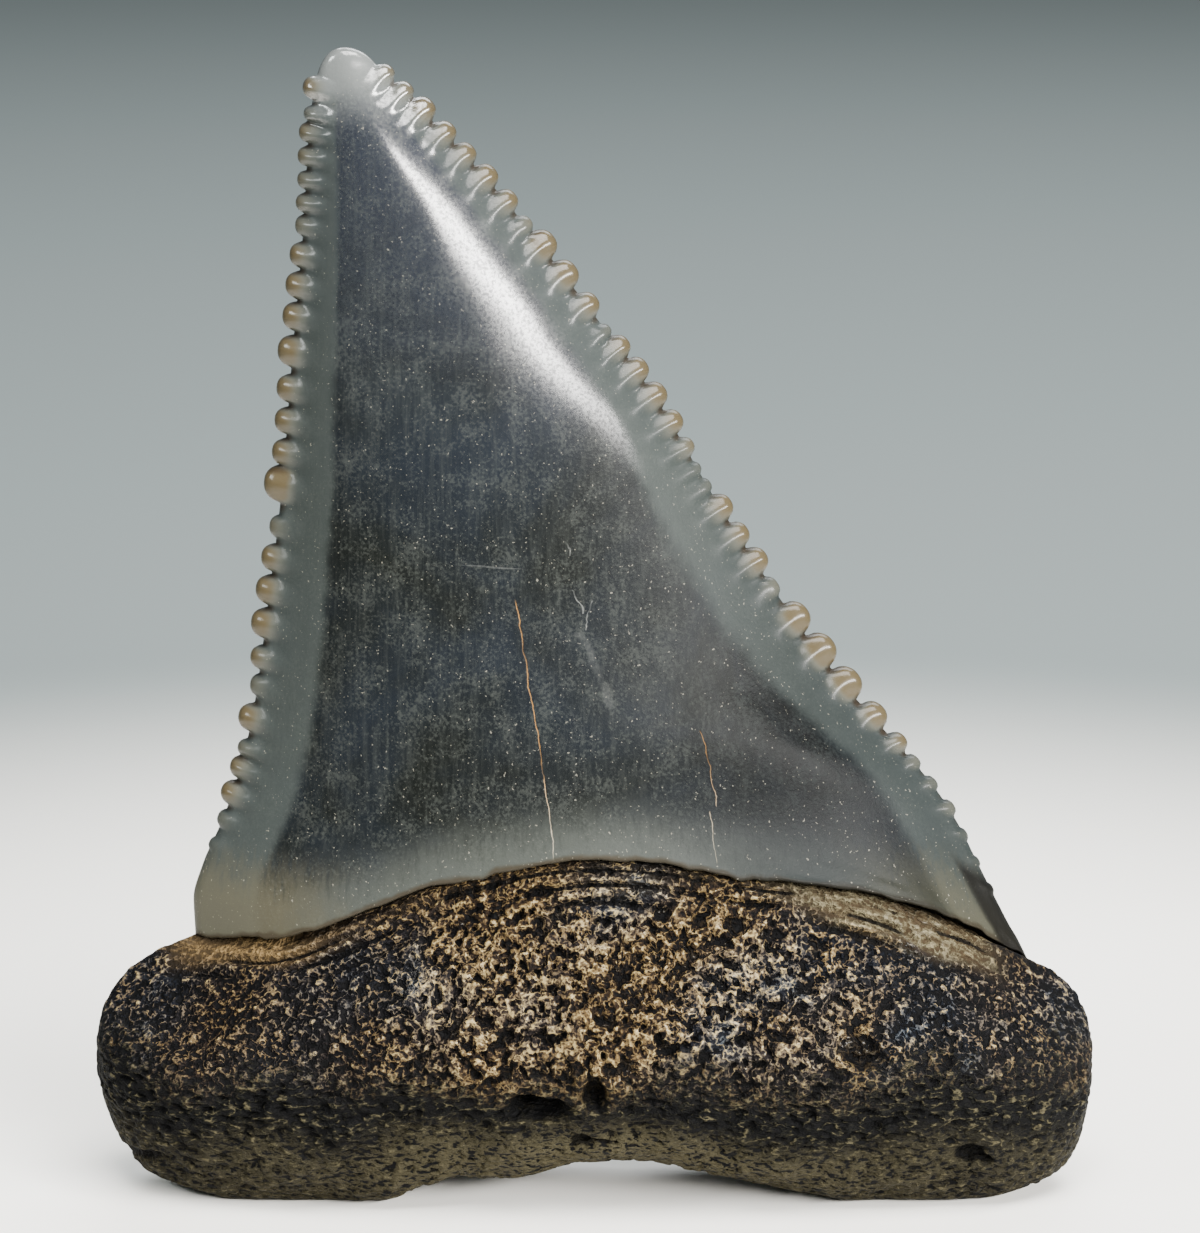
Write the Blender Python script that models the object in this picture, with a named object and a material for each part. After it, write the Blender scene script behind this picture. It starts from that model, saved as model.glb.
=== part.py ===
"""Fossil great white shark tooth, standing on its two root lobes, modelled as one closed solid.

Lengths in the tables are millimetres; the mesh is in metres. +Z runs from the resting plane to the crown tip,
+X is the side with the heel, and -Y is the tongue side, with the domed face and the bulge of the root.
The crown is built of rings from the tip down to the edge of the enamel, and the root of rings from there down
to a seam along the middle of its underside. A ring runs along the tongue side and back along the lip side.
"""

import math

import bmesh
import bpy
import numpy as np

MM = 0.001

# Driving dimensions
TIP_HEIGHT = 42.2
BLADE_EDGE_HALF = 0.32
BLADE_EDGE_ROUND = 0.36
TIP_LEAN = -0.7
ENAMEL_STEP = 0.14
LIP_DROP = 0.06
NECK_DROP = 0.36
NECK_DROP_ENDS = 0.13
NECK_END_POWER = 8
CENTRE_SHIFT = (0.0, 2.464)

# Each crown face: height of its crest over the row's width to a power, fall of the crest towards the sides,
# and how sharply crest and bevels meet
LINGUAL_CREST = (0.5, 0.64, 0.5, 7.0)
LABIAL_CREST = (0.16, 0.6, 0.45, 4.0)
LABIAL_BEVELS = (1.1, 1.3)
BEVEL_POWER = 1.15
BEVEL_LIMIT = 0.4
TIP_LEAN_START = 13.0
ARCHING_DEPTH = 18.6
HEEL_DEPTH = 21.6

# Cutting edges without their beads, as (depth below the tip, x)
LEFT_EDGE = (
    (0.0, -8.95), (0.2, -9.5), (0.9, -9.9), (3.1, -10.25), (6.6, -10.5), (11.2, -10.95), (16.2, -11.4),
    (21.2, -12.05), (24.0, -12.45), (26.7, -13.05), (28.7, -13.75), (30.4, -14.5), (31.7, -14.85),
    (32.9, -14.8),
)
RIGHT_EDGE = (
    (0.0, -8.95), (0.2, -8.25), (0.85, -7.6), (2.3, -6.15), (5.7, -3.1), (9.5, -0.2), (12.8, 2.2),
    (17.0, 4.65), (21.2, 7.4), (23.6, 9.2), (26.0, 11.3), (27.4, 12.5), (28.8, 13.4), (30.4, 14.2),
    (31.8, 14.9), (32.8, 15.42), (33.9, 16.05),
)

# Lower edge of the enamel on each side, as (x, z)
LINGUAL_ENAMEL_LINE = (
    (-14.8, 9.3), (-13.4, 9.45), (-11.9, 9.75), (-8.5, 11.1), (-4.5, 12.6), (0.3, 13.3), (6.0, 12.5),
    (10.4, 11.65), (13.5, 10.2), (16.05, 8.3),
)
LABIAL_ENAMEL_LINE = ((-14.8, 9.3), (-9.0, 9.7), (0.5, 10.4), (9.0, 9.9), (16.05, 8.3))

# Width of the bevel beside each cutting edge, as (height, width)
LEFT_BEVEL = ((8.0, 2.7), (20.0, 2.4), (30.0, 1.8), (36.0, 1.4), (42.2, 0.8))
RIGHT_BEVEL = ((8.0, 3.6), (16.0, 3.5), (24.0, 2.9), (30.0, 2.1), (36.0, 1.6), (42.2, 0.7))

# Beads of the serration: arc length to the first one, then the spacing as (bead number, spacing)
LEFT_FIRST_BEAD = 1.98
LEFT_SPACING = (
    (0, 0.95), (1, 0.68), (2, 0.87), (5, 0.83), (6, 1.08), (8, 1.15), (10, 1.39), (11, 1.2), (13, 1.17),
    (14, 1.61), (15, 1.18), (18, 1.3), (19, 1.05), (20, 1.25), (21, 1.18), (22, 0.75), (23, 1.02), (26, 1.05),
)
LEFT_BEADS = 27
RIGHT_FIRST_BEAD = 1.8
RIGHT_SPACING = (
    (0, 0.92), (1, 0.95), (2, 1.14), (3, 1.06), (5, 1.16), (7, 0.98), (8, 1.35), (9, 1.38), (10, 1.15),
    (11, 0.78), (12, 1.06), (14, 1.17), (16, 0.88), (17, 0.74), (19, 1.2), (21, 1.15), (22, 1.45), (25, 1.6),
    (26, 1.36), (27, 0.95), (29, 1.15), (33, 1.15),
)
RIGHT_BEADS = 34
WORN_LEFT_BEADS = {0: 1.2, 6: 0.7, 15: 0.6, 20: 0.6, 25: 0.5, 26: 0.25}
WORN_RIGHT_BEADS = {
    7: 0.75, 11: 0.6, 17: 0.5, 18: 0.4, 22: 0.45, 28: 0.6, 29: 0.4, 30: 0.5, 31: 0.3, 32: 0.2, 33: 0.2,
}
BEAD_HEIGHT = 0.38
BEAD_REACH = 0.5
BEAD_SWELL = 0.3
BEAD_SWELL_PLACE = (0.25, 0.5)
NECK_FLARE = 0.55
NECK_FLARE_RISE = 1.7
NECK_FLARE_SIDES = (0.5, 5.0)

# Root: x of each lobe's end against the ring number from 0 at the enamel to 1 at the seam
LEFT_LOBE = (
    (0.0, -14.8), (0.04, -16.1), (0.1, -17.3), (0.16, -17.95), (0.22, -18.3), (0.3, -18.42), (0.36, -18.42),
    (0.43, -18.25), (0.52, -17.92), (0.62, -17.4), (0.72, -16.75), (0.8, -15.95), (1.0, -13.4),
)
RIGHT_LOBE = (
    (0.0, 16.05), (0.02, 16.75), (0.06, 17.35), (0.1, 17.85), (0.15, 18.15), (0.2, 18.35), (0.26, 18.42),
    (0.35, 18.4), (0.45, 18.25), (0.58, 17.95), (0.73, 17.25), (0.8, 16.55), (1.0, 14.4),
)
# How far the root stands out from the blade plane on each side, as (x, depth)
LINGUAL_BULGE = ((-18.4, 4.6), (-14.0, 5.7), (-7.0, 6.8), (0.0, 7.55), (7.0, 7.0), (14.0, 5.9), (18.4, 4.8))
LABIAL_BULGE = ((-18.4, 1.7), (-12.0, 2.4), (0.0, 2.0), (12.0, 2.5), (18.4, 1.7))
# Underside, as (x, z): flat under both lobes, arched between them
UNDERSIDE = (
    (-18.4, 1.1), (-15.6, 0.35), (-13.2, 0.0), (-7.8, 0.0), (-6.2, 0.45), (-4.9, 0.85), (-3.2, 0.8),
    (-0.4, 1.4), (1.8, 1.45), (4.0, 1.0), (6.4, 0.5), (8.4, 0.12), (9.4, 0.0), (14.2, 0.0), (16.2, 0.3),
    (18.4, 0.9),
)
UNDERSIDE_FRONT = -3.3
UNDERSIDE_BACK = 1.2
UNDERSIDE_SEAM = -1.3
LOBE_END_DEPTH = -1.6
LOBE_END_ROUND = 4.2
LOBE_END_POWER = 2.2
LOBE_END_BLEND = 0.3
BULGE_RING = 0.35
BULGE_DROP = 0.55
FLAT_RING = 0.8

# Hollows and ridges of the root's tongue side, as (x, z, half width, half height, depth)
RELIEF = (
    (9.7, 6.5, 0.9, 0.45, 0.45), (9.6, 5.45, 1.1, 0.3, -0.25), (-16.8, 1.6, 1.0, 0.25, 0.3),
    (5.2, 6.9, 0.7, 0.35, 0.2), (-3.2, 5.3, 1.2, 0.6, 0.15),
)
# Nutrient foramina and pits, as (x, y, z, half sizes)
FORAMINA = (
    (-1.95, -7.15, 4.1, (0.78, 1.0, 0.45)), (-0.1, -7.6, 5.1, (0.45, 0.9, 0.6)),
    (-0.5, -6.45, 2.7, (0.38, 0.9, 0.27)), (13.6, -5.65, 2.4, (0.62, 0.8, 0.38)),
)
# Growth ridges below the enamel, as (ring number, height), and how round the plan is where they fade out
GROWTH_RIDGES = (
    (0.0, 0.0), (0.035, -0.05), (0.06, 0.1), (0.085, -0.16), (0.115, 0.1), (0.15, -0.05), (0.2, 0.0),
)
RIDGE_FADE = (0.2, 0.7)
# Soft lumps: their height, wavelengths and number of waves, and the ring numbers where they rise and fade
LUMP_HEIGHT = 0.2
LUMP_WAVELENGTHS = (2.6, 5.5)
LUMP_WAVES = 14
LUMP_RISE = (0.03, 0.2)
LUMP_FADE = (0.68, 0.8)
SEED = 11

# Mesh density
CROWN_ROW = 0.225
TIP_ROW = 0.05
CROWN_LOWER_ROWS = 14
BEADED_DEPTH = 29.6
ROOT_ROWS = 21
ROOT_COLUMNS = 26
END_CROWDING = 0.85
EDGE_SAMPLES = 4000
# Columns of each crown face: distances in from both edges, the most each may be as a share of the width, and
# how many more lie between
LINGUAL_COLUMNS = ((0.15, 0.5, 1.05, 2.2, 4.0), (0.06, 0.13, 0.2, 0.28, 0.38), 3)
LABIAL_COLUMNS = ((0.15, 0.5, 1.2, 4.5), (0.07, 0.15, 0.24, 0.35), 2)


def clear_scene():
    """Remove whatever the scene holds."""
    for item in list(bpy.data.objects):
        bpy.data.objects.remove(item, do_unlink=True)


def smooth_table(table, at):
    """Values of a table at the given places, on a smooth curve that never overshoots its points."""
    knots = np.array(table, dtype=float)
    x, y = knots[:, 0], knots[:, 1]
    step = np.diff(x)
    slope = np.diff(y) / step
    both = slope[:-1] * slope[1:]
    weight_a = 2 * step[1:] + step[:-1]
    weight_b = step[1:] + 2 * step[:-1]
    with np.errstate(divide="ignore", invalid="ignore"):
        inner = (weight_a + weight_b) / (weight_a / slope[:-1] + weight_b / slope[1:])
    tangent = np.concatenate([slope[:1], np.where(both > 0, inner, 0.0), slope[-1:]])
    at = np.clip(at, x[0], x[-1])
    k = np.clip(np.searchsorted(x, at, side="right") - 1, 0, len(step) - 1)
    t = (at - x[k]) / step[k]
    return (
        y[k] * (1 + 2 * t) * (1 - t) ** 2
        + tangent[k] * step[k] * t * (1 - t) ** 2
        + y[k + 1] * t * t * (3 - 2 * t)
        + tangent[k + 1] * step[k] * t * t * (t - 1)
    )


def ramp(value, low, high):
    """0 below low, 1 above high and a smooth rise between."""
    t = np.clip((value - low) / (high - low), 0.0, 1.0)
    return t * t * (3 - 2 * t)


def edge_x(table, depth):
    """x of a cutting edge at a depth below the tip. The root of the depth makes the tip round."""
    rooted = [(math.sqrt(d), x) for d, x in table]
    return smooth_table(rooted, np.sqrt(np.maximum(depth, 0.0)))


class CuttingEdge:
    """One beaded edge: arc length, outward direction and bead height against depth below the tip."""

    def __init__(self, table, outward, first, spacing, count, worn):
        self.depth = np.linspace(0.0, table[-1][0], EDGE_SAMPLES) ** 2 / table[-1][0]
        x = edge_x(table, self.depth)
        run = np.hypot(np.diff(x), np.diff(self.depth))
        self.arc = np.concatenate([[0.0], np.cumsum(run)])
        dx = np.gradient(x, self.arc)
        dz = -np.gradient(self.depth, self.arc)
        self.out_x = -outward * dz
        self.out_z = outward * dx
        number = np.arange(count)
        gap = smooth_table(spacing, number.astype(float))
        middle = first + np.concatenate([[0.0], np.cumsum(gap[:-1])])
        size = np.array([worn.get(int(n), 1.0) for n in number])
        offset = (self.arc[:, None] - middle) / (gap / 2 * np.sqrt(size))
        domes = BEAD_HEIGHT * gap * size * np.sqrt(np.clip(1 - offset**2, 0.0, 1.0))
        self.bead = domes.max(axis=1)

    def at(self, depth):
        """Outward x and z of the edge, and the bead height, at depths below the tip."""
        return tuple(np.interp(depth, self.depth, a) for a in (self.out_x, self.out_z, self.bead))


def blade_plane(z):
    """y of the plane that holds the cutting edges, leaning a little towards the tongue side at the tip."""
    return TIP_LEAN * np.clip((z - TIP_LEAN_START) / (TIP_HEIGHT - TIP_LEAN_START), 0.0, 1.0) ** 2


def face_height(left, right, z, lingual):
    """How far a crown face stands out of the blade plane.

    A low dome is cut by a bevel beside each edge, and the lowest of the three counts, with rounded meetings.
    left and right are the distances to the two cutting edges.
    """
    width = np.maximum(left + right, 1e-6)
    across = (left - right) / width
    factor, power, fall, sharpness = LINGUAL_CREST if lingual else LABIAL_CREST
    if lingual:
        bevels = (smooth_table(LEFT_BEVEL, z), smooth_table(RIGHT_BEVEL, z))
    else:
        bevels = tuple(np.full_like(z, bevel) for bevel in LABIAL_BEVELS)
    crest = factor * width**power
    total = (crest * (1 - fall * across**2)) ** -sharpness
    for distance, bevel in zip((left, right), bevels):
        bevel = np.minimum(bevel, BEVEL_LIMIT * width)
        shoulder = crest * (1 - fall * (1 - 2 * bevel / width) ** 2)
        edge = np.clip(distance / BLADE_EDGE_ROUND, 0.0, 1.0)
        rounded = BLADE_EDGE_HALF * np.sqrt(np.clip(1 - (1 - edge) ** 2, 0.0, 1.0))
        rise = (shoulder - BLADE_EDGE_HALF) * (distance / bevel) ** BEVEL_POWER
        total = total + np.maximum(rounded + np.maximum(rise, 0.0), 1e-4) ** -sharpness
    return total ** (-1 / sharpness)


def column_places(left_x, right_x, columns):
    """x of each column between the two edges, close together beside them, without the edges themselves."""
    near, fractions, middle = columns
    width = (right_x - left_x)[:, None]
    inward = np.minimum(np.array(near), np.array(fractions) * width)
    first = left_x[:, None] + inward
    last = right_x[:, None] - inward[:, ::-1]
    share = np.arange(1, middle + 1) / (middle + 1)
    between = first[:, -1:] + (last[:, :1] - first[:, -1:]) * share
    return np.concatenate([first, between, last], axis=1)


def crown_rings(left_edge, right_edge):
    """Rings of the crown from just below the tip to the enamel's edge, as an array (row, column, xyz)."""
    near_tip = TIP_ROW * np.arange(1, 3) ** 2
    beaded = np.arange(near_tip[-1] + CROWN_ROW, BEADED_DEPTH, CROWN_ROW)
    lower = np.linspace(beaded[-1], LEFT_EDGE[-1][0], CROWN_LOWER_ROWS + 1)[1:]
    depth = np.concatenate([near_tip, beaded, lower])
    drop = RIGHT_EDGE[-1][0] - LEFT_EDGE[-1][0]
    lowering = drop * ramp(depth, HEEL_DEPTH, LEFT_EDGE[-1][0])
    right_depth = depth + lowering
    left = (left_edge, edge_x(LEFT_EDGE, depth), depth)
    right = (right_edge, edge_x(RIGHT_EDGE, right_depth), right_depth)
    arching = ramp(depth, ARCHING_DEPTH, LEFT_EDGE[-1][0])[:, None]
    faces = []
    for lingual, line, columns in (
        (True, LINGUAL_ENAMEL_LINE, LINGUAL_COLUMNS),
        (False, LABIAL_ENAMEL_LINE, LABIAL_COLUMNS),
    ):
        x = column_places(left[1], right[1], columns)
        share = (x - left[1][:, None]) / (right[1] - left[1])[:, None]
        flat = TIP_HEIGHT - (depth[:, None] * (1 - share) + right_depth[:, None] * share)
        arch = smooth_table(line, x[-1]) - flat[-1]
        faces.append(crown_face(x, flat + arch * arching, left, right, lingual))
    ends = []
    for edge, place, down in (left, right):
        out_x, out_z, bead = edge.at(down)
        z = TIP_HEIGHT - down
        ends.append(np.stack([place + bead * out_x, blade_plane(z), z + bead * out_z], axis=-1)[:, None, :])
    return np.concatenate([ends[0], faces[0], ends[1], faces[1][:, ::-1, :]], axis=1)


def crown_face(x, z, left, right, lingual):
    """Points of one face of the crown, with the beads' ridges running a little way in from both edges.

    left and right hold a cutting edge, its x on each row and its depth below the tip on each row.
    """
    from_left = x - left[1][:, None]
    from_right = right[1][:, None] - x
    height = face_height(from_left, from_right, z, lingual)
    if lingual:
        above = np.clip(z - smooth_table(LINGUAL_ENAMEL_LINE, x), 0.0, None)
        height = height + NECK_FLARE * np.exp(-above / NECK_FLARE_RISE) * (
            ramp(from_left, *NECK_FLARE_SIDES) * ramp(from_right, *NECK_FLARE_SIDES)
        )
    moved_x = x.copy()
    moved_z = z.copy()
    for distance, (edge, _, down) in ((from_left, left), (from_right, right)):
        out_x, out_z, bead = (values[:, None] for values in edge.at(down))
        pull = bead * np.exp(-((distance / BEAD_REACH) ** 2))
        moved_x += pull * out_x
        moved_z += pull * out_z
        place, wide = BEAD_SWELL_PLACE
        height = height + BEAD_SWELL * bead * np.exp(-(((distance - place) / wide) ** 2))
    side = -1.0 if lingual else 1.0
    return np.stack([moved_x, blade_plane(z) + side * height, moved_z], axis=-1)


def neck_ring(crown, left_edge, right_edge):
    """The first ring of the root, evenly spaced, under the last ring of the crown and a step inside it."""
    number = np.arange(1, ROOT_COLUMNS) / ROOT_COLUMNS
    share = (1 - END_CROWDING) * number + END_CROWDING * (1 - np.cos(math.pi * number)) / 2
    half = len(LINGUAL_COLUMNS[0]) * 2 + LINGUAL_COLUMNS[2] + 1
    left_x, right_x = crown[-1, 0, 0], crown[-1, half, 0]
    x = left_x + (right_x - left_x) * share[None, :]
    left = (left_edge, np.array([left_x]), np.array([LEFT_EDGE[-1][0]]))
    right = (right_edge, np.array([right_x]), np.array([RIGHT_EDGE[-1][0]]))
    tongue = crown_face(x, smooth_table(LINGUAL_ENAMEL_LINE, x), left, right, True)[0]
    lip = crown_face(x, smooth_table(LABIAL_ENAMEL_LINE, x), left, right, False)[0]
    ring = np.concatenate([crown[-1, :1], tongue, crown[-1, half : half + 1], lip[::-1]])
    across = (2 * ring[:, 0] - left_x - right_x) / (right_x - left_x)
    return step_in(ring, NECK_DROP + (NECK_DROP_ENDS - NECK_DROP) * across**NECK_END_POWER)


def step_in(ring, drop):
    """A ring moved in from the enamel by the thickness of its edge, and down."""
    moved = ring.copy()
    moved[:, 1] -= np.sign(ring[:, 1]) * np.minimum(np.abs(ring[:, 1]) * 0.4, ENAMEL_STEP)
    moved[:, 2] -= drop
    return moved


def lumps(points, seed):
    """Soft lumps over the root: a sum of cosine waves of two lengths in seeded directions."""
    chance = np.random.default_rng(seed)
    total = np.zeros(points.shape[:-1])
    for wavelength in LUMP_WAVELENGTHS:
        way = chance.normal(size=(LUMP_WAVES, 3))
        way *= 2 * math.pi / wavelength / np.linalg.norm(way, axis=1, keepdims=True)
        phase = chance.uniform(0, 2 * math.pi, LUMP_WAVES)
        total += np.cos(points @ way.T + phase).sum(axis=-1) / math.sqrt(LUMP_WAVES)
    return total / len(LUMP_WAVELENGTHS)


def root_rings(neck):
    """Rings of the root from below the enamel to the seam, as an array (row, column, xyz).

    neck is the ring that the root hangs from. Each point keeps its share of the way from lobe to lobe. It
    goes down in a straight line to the bulge and round a quarter of an ellipse to the flat underside, while
    the depth follows a sine out to the bulge and a cosine back in.
    """
    half = len(neck) // 2
    rows = np.arange(1, ROOT_ROWS + 1) / ROOT_ROWS
    ridge_rows, ridge_heights = np.array(GROWTH_RIDGES).T
    rows = np.concatenate([ridge_rows[1:], rows[rows > ridge_rows[-1]]])[:, None]
    left_end = smooth_table(LEFT_LOBE, rows)
    right_end = smooth_table(RIGHT_LOBE, rows)
    neck_left, neck_right = neck[0, 0], neck[half, 0]
    share = (neck[:, 0] - neck_left) / (neck_right - neck_left)
    x = left_end + (right_end - left_end) * share
    upper = np.clip(rows / BULGE_RING, 0.0, 1.0)
    lower = np.clip((rows - BULGE_RING) / (FLAT_RING - BULGE_RING), 0.0, 1.0) * math.pi / 2
    under = np.clip((rows - FLAT_RING) / (1 - FLAT_RING), 0.0, 1.0)
    drop = BULGE_DROP * upper + (1 - BULGE_DROP) * np.sin(lower)
    z = neck[:, 2] * (1 - drop) + smooth_table(UNDERSIDE, x) * drop
    tongue = np.arange(len(neck)) <= half
    bulge = np.where(tongue, -smooth_table(LINGUAL_BULGE, x), smooth_table(LABIAL_BULGE, x))
    rim = np.where(tongue, UNDERSIDE_FRONT, UNDERSIDE_BACK)
    swell = np.sin(upper * math.pi / 2)
    body = neck[:, 1] + (bulge - neck[:, 1]) * swell
    body = rim + (body - rim) * np.cos(lower)
    body = UNDERSIDE_SEAM + (body - UNDERSIDE_SEAM) * (1 - under)
    end_depth = LOBE_END_DEPTH * swell
    inward = np.minimum(x - left_end, right_end - x) / LOBE_END_ROUND
    rounding = np.sqrt(np.clip(1 - (1 - np.clip(inward, 0.0, 1.0)) ** LOBE_END_POWER, 0.0, 1.0))
    blend = ramp(rows, 0.0, LOBE_END_BLEND)
    y = neck[:, 1] * (1 - blend) + blend * (end_depth + (body - end_depth) * rounding)
    side = np.where(tongue, -1.0, 1.0)
    points = np.stack([x, y, z], axis=-1)
    calm = ramp(rows, *LUMP_RISE) * (1 - ramp(rows, *LUMP_FADE)) * rounding
    push = LUMP_HEIGHT * lumps(points, SEED) * calm
    for middle_x, middle_z, wide, high, depth in RELIEF:
        spot = ((x - middle_x) / wide) ** 2 + ((z - middle_z) / high) ** 2
        push -= np.where(tongue, depth, 0.0) * np.exp(-spot)
    push += np.interp(rows, ridge_rows, ridge_heights) * ramp(rounding, *RIDGE_FADE)
    points[..., 1] += side * push
    return points


def add_band(bm, upper, lower):
    """Triangles between two rings of (share of the way round, vertex), which may differ in number."""
    above = [*upper, (1.0, upper[0][1])]
    below = [*lower, (1.0, lower[0][1])]
    i = j = 0
    while i < len(above) - 1 or j < len(below) - 1:
        next_above = above[i + 1][0] if i < len(above) - 1 else math.inf
        next_below = below[j + 1][0] if j < len(below) - 1 else math.inf
        if next_below <= next_above:
            face = (above[i][1], below[j][1], below[j + 1][1])
            j += 1
        else:
            face = (above[i][1], below[j][1], above[i + 1][1])
            i += 1
        if len(set(face)) == 3:
            bm.faces.new(face)


def shares(ring, half):
    """Each point's share of the way round a ring: its x from left to right, then back from right to left."""
    across = (ring[:, 0] - ring[0, 0]) / (ring[half, 0] - ring[0, 0])
    return np.where(np.arange(len(ring)) <= half, across, 2 - across) / 2


def build_tooth():
    """The solid of crown and root, from the tip to the seam under the root."""
    left_edge = CuttingEdge(LEFT_EDGE, -1, LEFT_FIRST_BEAD, LEFT_SPACING, LEFT_BEADS, WORN_LEFT_BEADS)
    right_edge = CuttingEdge(RIGHT_EDGE, 1, RIGHT_FIRST_BEAD, RIGHT_SPACING, RIGHT_BEADS, WORN_RIGHT_BEADS)
    crown = crown_rings(left_edge, right_edge)
    neck = neck_ring(crown, left_edge, right_edge)
    root = root_rings(neck)
    shift = np.array([*CENTRE_SHIFT, 0.0])
    half = len(LINGUAL_COLUMNS[0]) * 2 + LINGUAL_COLUMNS[2] + 1
    crown_shares = shares(crown[-1], half)
    root_shares = shares(neck, ROOT_COLUMNS)
    bm = bmesh.new()
    tip = bm.verts.new((np.array([LEFT_EDGE[0][1], blade_plane(TIP_HEIGHT), TIP_HEIGHT]) + shift) * MM)
    rings = [[(share, tip) for share in crown_shares]]
    for ring in [*crown, step_in(crown[-1], LIP_DROP)]:
        rings.append([(share, bm.verts.new((p + shift) * MM)) for share, p in zip(crown_shares, ring)])
    for ring in [neck, *root[:-1]]:
        rings.append([(share, bm.verts.new((p + shift) * MM)) for share, p in zip(root_shares, ring)])
    seam = [bm.verts.new((p + shift) * MM) for p in root[-1][: ROOT_COLUMNS + 1]]
    rings.append([(share, seam[min(i, 2 * ROOT_COLUMNS - i)]) for i, share in enumerate(root_shares)])
    for upper, lower in zip(rings[:-1], rings[1:]):
        add_band(bm, upper, lower)
    bmesh.ops.recalc_face_normals(bm, faces=bm.faces)
    mesh = bpy.data.meshes.new("tooth")
    bm.to_mesh(mesh)
    bm.free()
    return bpy.data.objects.new("tooth", mesh)


def cut_foramina(tooth):
    """Cut the openings of the root's nutrient canals, each the shape of a small egg."""
    for number, (x, y, z, half) in enumerate(FORAMINA):
        mesh = bpy.data.meshes.new(f"foramen_{number}")
        bm = bmesh.new()
        bmesh.ops.create_icosphere(bm, subdivisions=1, radius=1.0)
        for vert in bm.verts:
            vert.co = [
                (c * h + o + s) * MM for c, h, o, s in zip(vert.co, half, (x, y, z), (*CENTRE_SHIFT, 0.0))
            ]
        bm.to_mesh(mesh)
        bm.free()
        cutter = bpy.data.objects.new(f"foramen_{number}", mesh)
        cutter.hide_render = True
        cutter.display_type = "WIRE"
        bpy.context.collection.objects.link(cutter)
        cut = tooth.modifiers.new(f"foramen_{number}", "BOOLEAN")
        cut.operation = "DIFFERENCE"
        cut.solver = "EXACT"
        cut.object = cutter


def fossil_material():
    """Dark blue-grey fossil enamel and bone, one stone-like finish."""
    material = bpy.data.materials.new("fossil_tooth")
    material.use_nodes = True
    shader = material.node_tree.nodes["Principled BSDF"]
    shader.inputs["Base Color"].default_value = (0.085, 0.095, 0.105, 1.0)
    shader.inputs["Roughness"].default_value = 0.45
    shader.inputs["Metallic"].default_value = 0.0
    return material


def main():
    """Build the tooth."""
    clear_scene()
    tooth = build_tooth()
    bpy.context.collection.objects.link(tooth)
    tooth.data.materials.append(fossil_material())
    cut_foramina(tooth)


main()
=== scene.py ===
"""Looks of a fossil great white shark tooth: a glossy beaded crown on a pitted, worm-marked root.

Lengths are millimetres unless a name says otherwise, measured from the same origin as the solid. Crown and
root are worked out around the blade plane, the plane that holds the cutting edges, and moved back by
PLANE_BACK at the very end, when they become metres.
"""

import logging
import math
from collections.abc import Callable
from dataclasses import dataclass, field
from enum import Enum

import bpy
import numpy as np
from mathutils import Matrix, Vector


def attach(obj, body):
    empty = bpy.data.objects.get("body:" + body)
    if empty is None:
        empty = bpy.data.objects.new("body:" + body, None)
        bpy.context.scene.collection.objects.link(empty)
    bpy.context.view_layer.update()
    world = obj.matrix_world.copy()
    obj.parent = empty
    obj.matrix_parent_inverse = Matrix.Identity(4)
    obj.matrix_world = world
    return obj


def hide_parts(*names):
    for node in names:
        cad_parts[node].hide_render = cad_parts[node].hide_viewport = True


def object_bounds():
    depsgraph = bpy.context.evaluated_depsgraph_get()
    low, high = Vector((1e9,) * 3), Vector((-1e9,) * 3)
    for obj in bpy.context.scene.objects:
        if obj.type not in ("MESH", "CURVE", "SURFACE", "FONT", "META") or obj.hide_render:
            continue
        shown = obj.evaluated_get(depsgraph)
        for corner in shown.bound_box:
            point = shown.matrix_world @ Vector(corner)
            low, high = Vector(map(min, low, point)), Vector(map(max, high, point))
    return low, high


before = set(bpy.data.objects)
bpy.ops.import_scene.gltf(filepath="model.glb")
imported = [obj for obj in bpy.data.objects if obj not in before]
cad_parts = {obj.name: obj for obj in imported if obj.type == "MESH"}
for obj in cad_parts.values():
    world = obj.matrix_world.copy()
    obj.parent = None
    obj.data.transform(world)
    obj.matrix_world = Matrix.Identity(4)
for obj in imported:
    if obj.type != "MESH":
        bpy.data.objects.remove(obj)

Array = np.ndarray
Range = tuple[float, float]
Pairs = tuple[Range, ...]

CAD_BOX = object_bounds()
MM = 0.001
PLANE_BACK = 2.464
BOX_MARGIN = 0.002
NODE = "tooth"
BODY = "root"

log = logging.getLogger("tooth")


class Face(Enum):
    """The two faces of the tooth, by the side of the blade plane that they are on."""

    TONGUE = -1.0
    LIP = 1.0


def rise(value: Array, low: float, high: float) -> Array:
    """Return 0 below low, 1 above high and 3t squared - 2t cubed between."""
    t = np.clip((value - low) / (high - low), 0.0, 1.0)
    return t * t * (3 - 2 * t)


def bell(value: Array, middle: float, wide: float) -> Array:
    """Return the bell curve exp(-((value - middle) / wide) squared)."""
    return np.exp(-(((value - middle) / wide) ** 2))


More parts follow.
